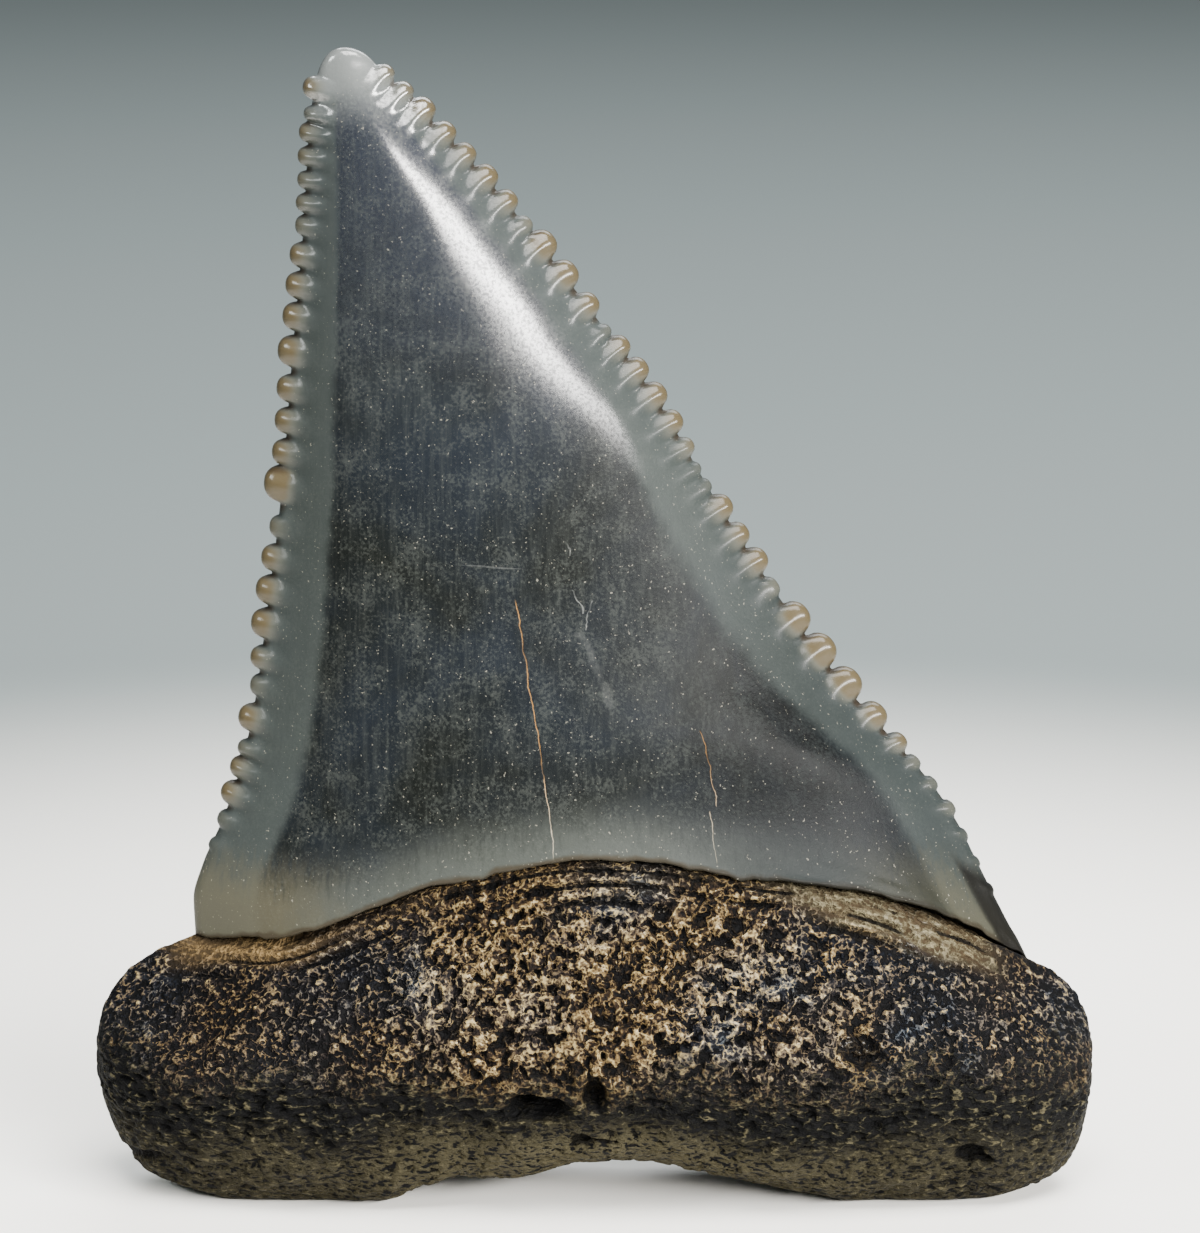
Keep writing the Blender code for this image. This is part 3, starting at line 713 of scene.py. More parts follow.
@dataclass
class Root:
    """The root: a thick bar with two rounded lobes, arched underneath, its skin all worms and pits."""

    crown: Crown
    tongue_columns: int = 420
    rows: int = 146
    bulge_ring: float = 0.35
    bulge_drop: float = 0.55
    flat_ring: float = 0.8
    under_front: float = -3.3
    under_back: float = 1.2
    under_seam: float = -1.3
    end_depth: float = -1.6
    end_round: float = 4.2
    end_power: float = 2.2
    end_blend: float = 0.3
    neck_drop: float = 0.36
    neck_drop_ends: float = 0.13
    enamel_step: float = 0.14
    lump_height: float = 0.2
    seed: int = 11
    drift: Waves = Waves(5.0, 40, number=20)
    clumps: Waves = Waves(1.05, 47, spread=0.4)
    worms: Waves = Waves(0.48, 41, spread=0.4)
    grains: Waves = Waves(0.44, 42, spread=0.5)
    levels: Waves = Waves(0.32, 43, (2.3, 1.6, 1.0), spread=0.4)
    pores: Waves = Waves(0.42, 44, (1.3, 1.0, 1.0), spread=0.4)
    wander: Waves = Waves(3.0, 45, (2.5, 1.0, 1.0), 20)
    patches: Waves = Waves(2.2, 46, (2.0, 1.0, 1.0), 20)
    low_zone: Range = (4.4, 6.7)
    foot_zone: Range = (1.8, 3.8)
    foot_arch: float = 0.9
    lined_zone: Range = (1.3, 2.3)
    first_line: float = 0.85
    line_spacing: float = 0.6
    skin_depth: float = 0.15
    pit_depth: float = 0.2
    # size factor of the painted shade round each hollow
    spot_dark: float = 1.2
    inner_rise: float = 0.5
    inner_size: Range = (0.94, 0.7)
    pole: tuple[float, float, float] = (0.0, 0.0, 12.0)
    left_lobe: Curve = Curve((
        (0.0, -14.8), (0.04, -16.1), (0.1, -17.3), (0.16, -17.95), (0.22, -18.3), (0.3, -18.42),
        (0.36, -18.42), (0.43, -18.25), (0.52, -17.92), (0.62, -17.4), (0.72, -16.75), (0.8, -15.95),
        (1.0, -13.4),
    ))
    right_lobe: Curve = Curve((
        (0.0, 16.05), (0.02, 16.75), (0.06, 17.35), (0.1, 17.85), (0.15, 18.15), (0.2, 18.35), (0.26, 18.42),
        (0.35, 18.4), (0.45, 18.25), (0.58, 17.95), (0.73, 17.25), (0.8, 16.55), (1.0, 14.4),
    ))
    tongue_bulge: Curve = Curve((
        (-18.4, 4.6), (-14.0, 5.7), (-7.0, 6.8), (0.0, 7.55), (7.0, 7.0), (14.0, 5.9), (18.4, 4.8),
    ))
    lip_bulge: Curve = Curve(((-18.4, 1.7), (-12.0, 2.4), (0.0, 2.0), (12.0, 2.5), (18.4, 1.7)))
    underside: Curve = Curve((
        (-18.4, 1.1), (-15.6, 0.35), (-13.2, 0.0), (-7.8, 0.0), (-6.2, 0.45), (-4.9, 0.85), (-3.2, 0.8),
        (-0.4, 1.4), (1.8, 1.45), (4.0, 1.0), (6.4, 0.5), (8.4, 0.12), (9.4, 0.0), (14.2, 0.0), (16.2, 0.3),
        (18.4, 0.9),
    ))
    spots: tuple[Spot, ...] = (
        Spot(9.75, 6.55, 0.95, 0.6, 0.5, -20, 0.8),
        Spot(9.3, 6.0, 1.9, 0.22, -0.22, -35),
        Spot(-16.8, 1.6, 1.0, 0.25, 0.3, 10, 0.7),
        Spot(5.2, 6.9, 0.7, 0.35, 0.2, 0, 0.4),
        Spot(-3.2, 5.3, 1.2, 0.6, 0.15, 0, 0.2),
        Spot(-2.05, 4.4, 1.0, 0.5, 1.2, -6, 1.0),
        Spot(-2.75, 4.25, 0.45, 0.3, 0.35, 15, 0.8),
        Spot(0.0, 5.05, 0.78, 0.92, -0.18),
        Spot(0.0, 5.05, 0.45, 0.58, 1.0, 0, 0.9),
        Spot(-0.45, 3.0, 0.4, 0.27, 0.6, 0, 1.0),
        Spot(0.25, 3.0, 0.55, 0.09, 0.3, 0, 0.9),
        Spot(13.7, 2.25, 0.5, 0.36, 0.55, 15, 1.0),
        Spot(14.25, 2.0, 0.36, 0.22, 0.35, -20, 0.8),
    )

    def neck_ring(self, places: Array) -> Array:
        """Work out the ring that the root hangs from, just under the enamel and a step inside it.

        Args:
            places: share of the way from the left lobe to the right one, for each front column.

        Returns:
            The ring: along the tongue side, then back along the lip side on every second place.
        """
        left, right = self.crown.left_row, self.crown.right_row
        left_x, right_x = left.x[-1], right.x[-1]
        sides = []
        for face, share in ((Face.TONGUE, places), (Face.LIP, places[::2][::-1][1:-1])):
            x = left_x + (right_x - left_x) * share
            z = self.crown.enamel(face).at(x)
            height = self.crown.height(face, x - left_x, right_x - x, z, np.zeros_like(x))
            if face is Face.TONGUE:
                height[[0, -1]] = 0.0
            height -= np.minimum(height * 0.4, self.enamel_step)
            middle = (2 * x - left_x - right_x) / (right_x - left_x)
            drop = self.neck_drop + (self.neck_drop_ends - self.neck_drop) * middle**8
            sides.append(np.stack([x, self.crown.blade_plane(z) + face.value * height, z - drop], axis=-1))
        return np.concatenate(sides)

    def plan_places(self) -> Array:
        """Space the front columns evenly along the plan of the bulge.

        The plan is x against bulge times the rounding of the lobe's end, and equal lengths of it get equal
        numbers of columns.

        Returns:
            Share of the way from left to right for each column, ends included.
        """
        share = (1 - np.cos(np.linspace(0, math.pi, 4001))) / 2
        left_end, right_end = self.left_lobe.at(self.bulge_ring), self.right_lobe.at(self.bulge_ring)
        x = left_end + (right_end - left_end) * share
        y = self.tongue_bulge.at(x) * self.end_rounding(x - left_end, right_end - x)
        length = np.concatenate([[0.0], np.cumsum(np.hypot(np.diff(x), np.diff(y)))])
        return np.interp(np.linspace(0, length[-1], self.tongue_columns + 1), length, share)

    def end_rounding(self, from_left: Array, from_right: Array) -> Array:
        """Return sqrt(1 - (1 - inward)^power), inward being the share of end_round from the nearer end."""
        inward = np.clip(np.minimum(from_left, from_right) / self.end_round, 0.0, 1.0)
        return np.sqrt(np.clip(1 - (1 - inward) ** self.end_power, 0.0, 1.0))

    def surface(self, rows: Array, neck: Array) -> tuple[Array, Array]:
        """Work out the smooth root over ring numbers from 0 at the enamel to 1 at the seam.

        Each point keeps its share of the way from lobe to lobe. It goes down in a straight line to the bulge
        and round a quarter of an ellipse to the flat underside, while the depth follows a sine out to the
        bulge and a cosine back in.

        Args:
            rows: ring numbers.
            neck: the ring that the root hangs from.

        Returns:
            The points, and how much of each row's full depth the rounding of the lobe ends leaves.
        """
        rows = across(rows)
        tongue = np.arange(len(neck)) <= self.tongue_columns
        right = neck[self.tongue_columns, 0]
        share = (neck[:, 0] - neck[0, 0]) / (right - neck[0, 0])
        left_end, right_end = self.left_lobe.at(rows), self.right_lobe.at(rows)
        x = left_end + (right_end - left_end) * share
        upper = np.clip(rows / self.bulge_ring, 0.0, 1.0)
        lower = np.clip((rows - self.bulge_ring) / (self.flat_ring - self.bulge_ring), 0, 1) * math.pi / 2
        under = np.clip((rows - self.flat_ring) / (1 - self.flat_ring), 0.0, 0.94)
        drop = self.bulge_drop * upper + (1 - self.bulge_drop) * np.sin(lower)
        z = neck[:, 2] * (1 - drop) + self.underside.at(x) * drop
        bulge = np.where(tongue, -self.tongue_bulge.at(x), self.lip_bulge.at(x))
        rim = np.where(tongue, self.under_front, self.under_back)
        swell = np.sin(upper * math.pi / 2)
        body = neck[:, 1] + (bulge - neck[:, 1]) * swell
        body = rim + (body - rim) * np.cos(lower)
        body = self.under_seam + (body - self.under_seam) * (1 - under)
        rounding = self.end_rounding(x - left_end, right_end - x)
        blend = rise(rows, 0.0, self.end_blend)
        deep = self.end_depth * swell
        y = neck[:, 1] * (1 - blend) + blend * (deep + (body - deep) * rounding)
        return np.stack([x, y, z], axis=-1), rounding

    def row_places(self, neck: Array) -> Array:
        """Choose the rings: equal lengths of the middle profile, fewer of them underneath.

        Args:
            neck: the ring that the root hangs from.

        Returns:
            Ring numbers from 0 to 1.
        """
        fine = np.linspace(0, 1, 1201)
        points, _ = self.surface(fine, neck)
        profile = points[:, self.tongue_columns // 2]
        step = np.linalg.norm(np.diff(profile, axis=0), axis=1)
        weight = np.interp(fine[1:], (0, 0.08, 0.1, 0.62, 0.8, 0.82, 1), (1.25, 1.25, 1, 1, 0.6, 0.3, 0.2))
        length = np.concatenate([[0.0], np.cumsum(step * weight)])
        return np.interp(np.linspace(0, length[-1], self.rows), length, fine)

    def lumps(self, points: Array) -> Array:
        """Work out soft lumps: cosine waves of two lengths in seeded directions, summed and halved.

        Args:
            points: the smooth surface.

        Returns:
            Heights round zero.
        """
        chance = np.random.default_rng(self.seed)
        total = np.zeros(points.shape[:-1])
        for length in (2.6, 5.5):
            way = chance.normal(size=(14, 3))
            way *= 2 * math.pi / length / np.linalg.norm(way, axis=1, keepdims=True)
            phase = chance.uniform(0, 2 * math.pi, 14)
            total += np.cos(points @ way.T + phase).sum(axis=-1) / math.sqrt(14)
        return total / 2

    def below_enamel(self, points: Array, tongue: Array) -> Array:
        """Work out how far below the edge of the enamel points lie.

        Args:
            points: the smooth surface.
            tongue: True on the tongue side.

        Returns:
            The distance down to each point.
        """
        x = points[..., 0]
        tongue_line, lip_line = (self.crown.enamel(face).at(x) for face in Face)
        return np.where(tongue, tongue_line, lip_line) - points[..., 2]

    def skin(self, points: Array, below: Array, tongue: Array, soft: Array) -> tuple[Array, dict[str, Array]]:
        """Work out the dissolved skin of the root.

        Worms and granules are where a random field passes a threshold that changes from place to place:
        lone worms on the left lobe, crowded granules in the middle, fine dots on the right. Lower down long
        pores between thin level ridges take over, and small round pores along the bottom. Near the enamel
        growth lines follow its edge.

        Args:
            points: the smooth surface.
            below: distance below the enamel.
            tongue: True on the tongue side.
            soft: how far the ends of the lobes round off.

        Returns:
            How far the skin is sunk in, and the marks that the finish reads.
        """
        x, z = points[..., 0], points[..., 2]
        drift, clumps, pores = (waves.at(points) for waves in (self.drift, self.clumps, self.pores))
        worms = 0.9 * self.worms.at(points) + 0.35 * clumps
        grains = 0.8 * self.grains.at(points) + 0.55 * clumps
        levels = 0.9 * self.levels.at(points) + 0.35 * clumps
        centre = rise(x, -9.5, -4.5) * (1 - 0.85 * rise(x, 5.0, 12.0))
        low = 1 - rise(z + 0.35 * drift, *self.low_zone)
        foot = 1 - rise(z + 0.3 * drift - self.foot_arch * bell(x, -0.5, 5.0), *self.foot_zone)
        foot = foot * (0.3 + 0.7 * bell(x, 0.0, 10.0))
        inside = rise(x, -16.4, -14.9) * (1 - rise(x, 13.8, 15.6))
        right = rise(x, 5.0, 10.0)
        neck = (1 - rise(below + 0.2 * drift, 0.45 + 0.4 * right, 1.15 + 0.5 * right)) * inside
        lined = (1 - rise(below + 0.2 * drift, *self.lined_zone)) * inside
        field = worms * (1 - centre) + grains * centre
        field = field / np.sqrt((1 - centre) ** 2 + centre**2)
        threshold = 0.85 - 0.85 * centre - 0.25 * rise(x, 5.0, 12.0) + 0.15 * drift
        raised = rise(field, threshold - 0.35, threshold + 0.45)
        level = rise(levels + 0.4 * grains, 0.25, 1.25)
        raised = raised * (1 - low) + 0.8 * level * low
        raised = raised * (1 - foot) + 0.45 * rise(levels + grains, -0.4, 1.6) * foot
        pits = rise(-field, 0.35, 1.3) * (0.25 + 0.75 * centre) * (1 - low)
        long_pits = rise(-levels - 0.3 * pores, 0.8, 1.7) * low * (1 - foot)
        round_pits = rise(pores + 0.5 * grains, 1.35, 2.0) * foot
        pit = np.clip(pits + long_pits + round_pits, 0, 1)
        wander = 0.09 * self.wander.at(points)
        lines = np.cos(2 * math.pi * (below - self.first_line + wander) / self.line_spacing)
        patches = rise(self.patches.at(points), -1.1, 0.7)
        strength = np.maximum(patches, bell(x, -1.0, 6.0)) * lined * rise(below, 0.2, 0.5)
        line = rise(lines, 0.2, 1.0) * strength
        raised = raised * (1 - 0.6 * lined) + 0.7 * line
        pit = pit * (1 - 0.6 * lined) + 0.8 * rise(-lines, 0.3, 1.0) * strength
        depth = (self.skin_depth * (1 - raised) + self.pit_depth * pit) * (0.25 + 0.75 * soft**2)
        # How strongly the finish paints shade into each hollow, carried by the pit mark.
        dark = np.zeros_like(x)
        for spot in self.spots:
            here = spot.at(x, z) * tongue
            depth = depth + spot.depth * here
            raised = np.maximum(raised, -4 * spot.depth * here)
            dark = np.maximum(dark, spot.dark * spot.at(x, z, self.spot_dark) * tongue)
        depth = depth * rise(z, 0.0, 0.35) * rise(below, -0.05, 0.3)
        warm = np.clip(0.1 + 0.3 * drift + 0.7 * bell(x, -1.0, 7.5), 0, 1)
        crowd = 0.52 + 0.28 * centre - 0.12 * rise(x, 9.0, 14.0)
        tan_ends = 0.1 + 0.9 * rise(-x, 8.0, 12.5) + 0.75 * rise(x, 5.0, 9.0)
        marks = {
            "raised": raised, "pit": np.maximum(pit, dark), "warm": warm, "low": low, "foot": foot,
            "neck": neck * tan_ends, "below": below, "crowd": crowd,
        }
        return depth, marks

    def build(self) -> bpy.types.Object:
        """Make the root as one closed piece, risen a little inside the crown and zipped along its seam.

        Returns:
            The root.
        """
        neck = self.neck_ring(self.plan_places())
        rows = self.row_places(neck)
        points, rounding = self.surface(rows, neck)
        tongue = np.broadcast_to(np.arange(len(neck)) <= self.tongue_columns, points.shape[:2])
        calm = rise(across(rows), 0.03, 0.2) * (1 - rise(across(rows), 0.68, 0.8)) * rounding
        side = np.where(tongue, Face.TONGUE.value, Face.LIP.value)
        points[..., 1] += side * self.lump_height * self.lumps(points) * calm
        below = self.below_enamel(points, tongue)
        depth, marks = self.skin(points, below, tongue, rounding)
        down = np.gradient(points, axis=0)
        round_ring = np.roll(points, -1, axis=1) - np.roll(points, 1, axis=1)
        normal = np.cross(down, round_ring)
        normal /= np.maximum(np.linalg.norm(normal, axis=-1, keepdims=True), 1e-9)
        outward = np.sign(np.sum(normal[:, : self.tongue_columns, 1])) * Face.TONGUE.value
        points = points - normal * (outward * depth)[..., None]
        top = neck * (*self.inner_size, 1.0) + (0.0, 0.0, self.inner_rise)
        rings = np.concatenate([top[None], points])
        marks = {name: np.concatenate([value[:1], value]) for name, value in marks.items()}
        return Shell("root", rings, marks, [(0, self.pole)], self.tongue_columns).build()


Colour = tuple[float, float, float, float]


def rgb(red: float, green: float, blue: float) -> Colour:
    """Turn a colour as an eye sees it on a screen, 0 to 255, into the light that a surface reflects."""
    return (*(((c / 255 + 0.055) / 1.055) ** 2.4 for c in (red, green, blue)), 1.0)


@dataclass(frozen=True)
class Layer:
    """A colour laid over another where a mask goes from low to high, by strength at the most.

    The mask falls where high is the smaller.
    """

    colour: Colour
    low: float
    high: float
    strength: float = 1.0


@dataclass(frozen=True)
class Value:
    """What a shader node gives. It is added, subtracted and multiplied as a number is."""

    nodes: "Nodes"
    socket: bpy.types.NodeSocket

    def __add__(self, other: object) -> "Value":
        """Return the sum."""
        return self.nodes.math("ADD", self, other)

    def __sub__(self, other: object) -> "Value":
        """Return the difference."""
        return self.nodes.math("SUBTRACT", self, other)

    def __rsub__(self, other: object) -> "Value":
        """Return a number less this value."""
        return self.nodes.math("SUBTRACT", other, self)

    def __mul__(self, other: object) -> "Value":
        """Return the product."""
        return self.nodes.math("MULTIPLY", self, other)

    def step(self, low: object, high: object) -> "Value":
        """Return a smooth step, 0 at low and 1 at high. It falls where high is the smaller."""
        given = {"Value": self, "From Min": low, "From Max": high}
        return self.nodes.value("MapRange", "Result", given, interpolation_type="SMOOTHSTEP")


class Nodes:
    """A shader node tree, with short ways to add nodes to it."""

    def __init__(self, tree: bpy.types.NodeTree) -> None:
        """Hold the tree that nodes are added to."""
        self.tree = tree

    def fill(self, sockets: bpy.types.bpy_prop_collection, given: dict[int | str, object]) -> None:
        """Link sockets to values, or set them to numbers and colours.

        Args:
            sockets: the inputs of a node.
            given: what some of them get, by name or number.
        """
        for name, value in given.items():
            if isinstance(value, Value):
                self.tree.links.new(value.socket, sockets[name])
            else:
                sockets[name].default_value = value

    def add(self, kind: str, given: dict[int | str, object], **settings: object) -> bpy.types.Node:
        """Add a node.

        Args:
            kind: the node's type, without "ShaderNode".
            given: what its inputs get, by name or number.
            settings: properties of the node.

        Returns:
            The new node.
        """
        node = self.tree.nodes.new("ShaderNode" + kind)
        for name, value in settings.items():
            setattr(node, name, value)
        self.fill(node.inputs, given)
        return node

    def value(
        self, kind: str, output: int | str, given: dict[int | str, object], **settings: object
    ) -> Value:
        """Add a node and return one of its outputs."""
        return Value(self, self.add(kind, given, **settings).outputs[output])

    def math(self, operation: str, *values: object, clamp: bool = False) -> Value:
        """Return the result of a Math node on numbers or values."""
        return self.value("Math", 0, dict(enumerate(values)), operation=operation, use_clamp=clamp)

    def mix(self, factor: object, first: object, second: object, blend: str = "MIX") -> Value:
        """Return two colours mixed by a factor."""
        given = {0: factor, 6: first, 7: second}
        return self.value("Mix", 2, given, data_type="RGBA", blend_type=blend)

    def lay(self, under: object, layer: Layer, mask: Value, colour: object = None) -> Value:
        """Lay a layer over a colour.

        Args:
            under: the colour below.
            layer: the layer.
            mask: what the layer's limits are for.
            colour: a colour used in place of the layer's own.

        Returns:
            The new colour.
        """
        factor = mask.step(layer.low, layer.high) * layer.strength
        return self.mix(factor, under, layer.colour if colour is None else colour)

    def noise(
        self, vector: Value, scale: object, detail: float = 3.0, roughness: float = 0.5, bend: float = 0.0
    ) -> Value:
        """Return a noise value at a vector."""
        given = {"Vector": vector, "Scale": scale, "Detail": detail, "Roughness": roughness}
        return self.value("TexNoise", 0, {**given, "Distortion": bend})

    def marks(self, *names: str) -> list[Value]:
        """Return marks that the shapes leave on their points."""
        return [self.value("Attribute", "Fac", {}, attribute_name=name) for name in names]

    def millimetres(self, stretch: tuple[float, float, float] = (1.0, 1.0, 1.0)) -> Value:
        """Return object coordinates in millimetres, divided by a stretch along each axis."""
        place = self.value("TexCoord", "Object", {})
        return self.value("Mapping", "Vector", {"Vector": place, "Scale": [1 / MM / s for s in stretch]})

    def split(self, vector: Value) -> list[Value]:
        """Return x, y and z of a vector."""
        return [Value(self, socket) for socket in self.add("SeparateXYZ", {0: vector}).outputs]

    def bump(self, height: Value, strength: float, distance: float) -> Value:
        """Return the normal over heights that are counted in a distance in millimetres."""
        given = {"Height": height, "Strength": strength, "Distance": distance * MM}
        return self.value("Bump", "Normal", given)

    def effect(self, tree: bpy.types.NodeTree, **given: object) -> list[Value]:
        """Place a shared effect, its inputs named with _ for a space, and return its outputs."""
        named = {name.replace("_", " "): value for name, value in given.items()}
        return [Value(self, socket) for socket in self.add("Group", named, node_tree=tree).outputs]


def new_material(name: str) -> tuple[bpy.types.Material, Nodes, bpy.types.bpy_prop_collection]:
    """Make a material.

    Args:
        name: its name.

    Returns:
        The material, its nodes and the inputs of its shader.
    """
    made = bpy.data.materials.new(name)
    made.use_nodes = True
    return made, Nodes(made.node_tree), made.node_tree.nodes["Principled BSDF"].inputs


class Effects:
    """Effects that both finishes of the tooth use, each a node group built once."""

    def __init__(self) -> None:
        """Build the groups."""
        self.drift = self.group("mineral_drift", {"Size": 3.0, "Contrast": 0.2}, ("Mask",), self.draw_drift)
        inputs = {"Size": 0.2, "Speck Size": 0.12, "Rarity": 0.7}
        self.grain = self.group("mineral_grain", inputs, ("Height", "Specks"), self.draw_grain)

    @staticmethod
    def group(
        name: str, inputs: dict[str, float], outputs: tuple[str, ...], draw: Callable[..., tuple[Value, ...]]
    ) -> bpy.types.NodeTree:
        """Build a group that takes a vector and some numbers.

        Args:
            name: the group's name.
            inputs: the numbers, each with its first value.
            outputs: names of what it gives.
            draw: makes the outputs from the group's nodes, the vector and the numbers.

        Returns:
            The group.
        """
        tree = bpy.data.node_groups.new(name, "ShaderNodeTree")
        tree.interface.new_socket("Vector", in_out="INPUT", socket_type="NodeSocketVector")
        for label, value in inputs.items():
            socket = tree.interface.new_socket(label, in_out="INPUT", socket_type="NodeSocketFloat")
            socket.default_value = value
        for label in outputs:
            tree.interface.new_socket(label, in_out="OUTPUT", socket_type="NodeSocketFloat")
        nodes = Nodes(tree)
        given = [Value(nodes, socket) for socket in tree.nodes.new("NodeGroupInput").outputs]
        drawn = draw(nodes, *given[: len(inputs) + 1])
        nodes.fill(tree.nodes.new("NodeGroupOutput").inputs, dict(zip(outputs, drawn)))
        return tree

    @staticmethod
    def draw_drift(nodes: Nodes, place: Value, size: Value, contrast: Value) -> tuple[Value, ...]:
        """Draw the slow drift of a mineral colour: a bent noise as a mask."""
        broad = nodes.noise(place, nodes.math("DIVIDE", 1.0, size), 4.0, 0.6, 0.6)
        return (broad.step(0.5 - contrast, contrast + 0.5),)

    @staticmethod
    def draw_grain(
        nodes: Nodes, place: Value, size: Value, speck_size: Value, rarity: Value
    ) -> tuple[Value, ...]:
        """Draw fine mineral grain.

        Args:
            nodes: the group's nodes.
            place: coordinates in millimetres.
            size: size of the grain.
            speck_size: size of the specks.
            rarity: how high the noise has to be for a speck.

        Returns:
            A height for bumps, and a mask of rare bright specks.
        """
        height = nodes.noise(place, nodes.math("DIVIDE", 1.0, size), 3.0, 0.65)
        speck = nodes.noise(place, nodes.math("DIVIDE", 1.0, speck_size), 1.0, 0.5)
        return height, speck.step(rarity, rarity + 0.08)


@dataclass(frozen=True)
class Line:
    """A thin line down the tongue side: its ends' heights and x, its sag sideways, width and strength."""

    top: float
    bottom: float
    start: float
    end: float
    sag: float
    width: float
    strength: float


@dataclass(frozen=True)
class EnamelFinish:
    """Glossy slate-blue fossil enamel with paler bevels, tan beads and a hazy base, and some painted
    reflection and shade.
    """

    slate: Colour = rgb(19, 23, 28)
    olive: Colour = rgb(12, 14, 12)
    haze: Colour = rgb(64, 67, 63)
    warm_haze: Colour = rgb(76, 73, 59)
    # painted shade: the factor that darkens the crown's lower right
    shade: Colour = (0.3, 0.33, 0.36, 1.0)
    crack: Colour = rgb(122, 90, 52)
    crack_end: Colour = rgb(140, 134, 118)
    scuff: Colour = rgb(140, 142, 138)
    speck: Colour = rgb(150, 146, 132)
    heel: Colour = rgb(11, 10, 9)
    # painted reflection: lighter and bluer towards the top of the crown
    pale: Layer = Layer(rgb(35, 38, 46), 27.0, 43.0, 0.6)
    dust: Layer = Layer(haze, 0.76, 1.02, 0.3)
    bevel: Layer = Layer(rgb(54, 59, 57), 0.45, 1.3, 0.7)
    # the paler band above the enamel's lower edge: partly the enamel's own tone, partly painted reflection
    base: Layer = Layer(haze, 3.0, 0.6, 0.7)
    stain: Layer = Layer(rgb(42, 35, 24), 0.34, 0.16, 0.75)
    tip: Layer = Layer(rgb(104, 107, 106), 39.6, 42.4, 0.7)
    bead: Layer = Layer(rgb(70, 70, 62), 0.05, 0.8, 0.9)
    bead_top: Layer = Layer(rgb(66, 57, 38), 0.5, 0.98, 0.9)
    # painted shade: brown in the notches between the beads
    notch: Layer = Layer(rgb(40, 31, 21), 0.2, 0.9, 0.7)
    streaks: float = 0.2
    specks: float = 0.35
    heel_strength: float = 0.9
    left_haze: Range = (-8.0, -14.0)
    warm_sides: Range = (9.5, 13.5)
    shade_right: Range = (1.0, 9.0)
    shade_top: Range = (30.0, 21.0)
    shade_edge: Range = (0.3, 0.9)
    crack_fade: Range = (13.5, 17.0)
    dull_bead: Range = (0.1, 0.5)
    dull_strip: Range = (0.6, 1.0)
    dull_top: Range = (40.4, 38.8)
    gloss: Range = (26.5, 34.0)
    sparkle: Range = (0.36, 0.58)
    bump: Range = (0.6, 0.018)
    roughness: float = 0.42
    specular: float = 0.07
    coat_roughness: float = 0.17
    coat_ior: float = 1.8
    cracks: tuple[Line, ...] = (
        Line(22.6, 13.2, -2.86, -1.43, 0.05, 0.02, 1.0),
        Line(17.8, 15.0, 3.82, 4.4, 0.1, 0.015, 0.7),
        Line(14.9, 13.0, 4.15, 4.44, 0.0, 0.015, 0.6),
    )
    scuffs: tuple[Line, ...] = (
        Line(24.7, 24.1, -1.2, -0.9, 0.05, 0.024, 0.22),
        Line(22.9, 22.0, -0.85, -0.5, 0.1, 0.03, 0.26),
        Line(22.5, 21.4, -0.1, -0.35, -0.08, 0.024, 0.22),
        Line(21.4, 18.6, -0.6, 0.55, 0.1, 0.13, 0.05),
        Line(23.8, 23.65, -4.6, -2.8, 0.0, 0.4, 0.09),
    )

    def material(self, effects: Effects) -> bpy.types.Material:
        """Build the material.

        Args:
            effects: the shared node groups.

        Returns:
            The enamel.
        """
        made, nodes, shader = new_material("fossil_enamel")
        place = nodes.millimetres()
        x, _, z = nodes.split(place)
        strip, above, bead, notch, heel = nodes.marks("strip", "above", "bead", "notch", "heel")
        (drift,) = nodes.effect(effects.drift, Vector=place, Size=7.0, Contrast=0.2)
        grain, specks = nodes.effect(effects.grain, Vector=place, Size=0.12, Speck_Size=0.1, Rarity=0.7)
        streak = nodes.noise(nodes.millimetres((1.0, 1.0, 26.0)), 5.0, 4.0, 0.7).step(0.42, 0.8)
        wander = nodes.noise(place, 0.9, 3.0, 0.6)
        colour = nodes.mix(drift, self.slate, self.olive)
        # Painted reflection: the crown lighter and bluer towards its top.
        colour = nodes.lay(colour, self.pale, wander * 6.0 + z)
        colour = nodes.mix(streak * self.streaks, colour, self.haze)
        colour = nodes.lay(colour, self.dust, wander * 0.6 + grain)
        colour = nodes.lay(colour, self.bevel, wander * 0.7 + strip)
        # The paler band over the base of the crown: partly the enamel's own tone, partly painted reflection.
        up = (streak + wander) * 0.9 + above - x.step(*self.left_haze) * 1.3
        warm = (wander * 3.0 + nodes.math("ABSOLUTE", x)).step(*self.warm_sides)
        colour = nodes.lay(colour, self.base, up, nodes.mix(warm, self.haze, self.warm_haze))
        colour = nodes.lay(colour, self.stain, wander * 0.3 + above)
        # Painted shade: the lower right of the crown, less so on its bevel, is darkened by multiplying its
        # colour.
        shaded = (wander * 2.0 + x).step(*self.shade_right) * z.step(*self.shade_top)
        shaded = shaded * (1.0 - strip.step(*self.shade_edge) * 0.45)
        colour = nodes.mix(shaded, colour, self.shade, "MULTIPLY")
        cracks = self.lines(nodes, place, self.cracks, 0.3)
        crack = nodes.mix(z.step(*self.crack_fade), self.crack_end, self.crack)
        colour = nodes.mix(cracks * wander.step(0.2, 0.55), colour, crack)
        scuffs = self.lines(nodes, place, self.scuffs, 0.6)
        colour = nodes.mix(scuffs * wander.step(0.3, 0.6), colour, self.scuff)
        colour = nodes.mix(specks * self.specks, colour, self.speck)
        colour = nodes.lay(colour, self.tip, grain * 1.2 + z)
        colour = nodes.lay(colour, self.bead, bead)
        colour = nodes.lay(colour, self.bead_top, bead)
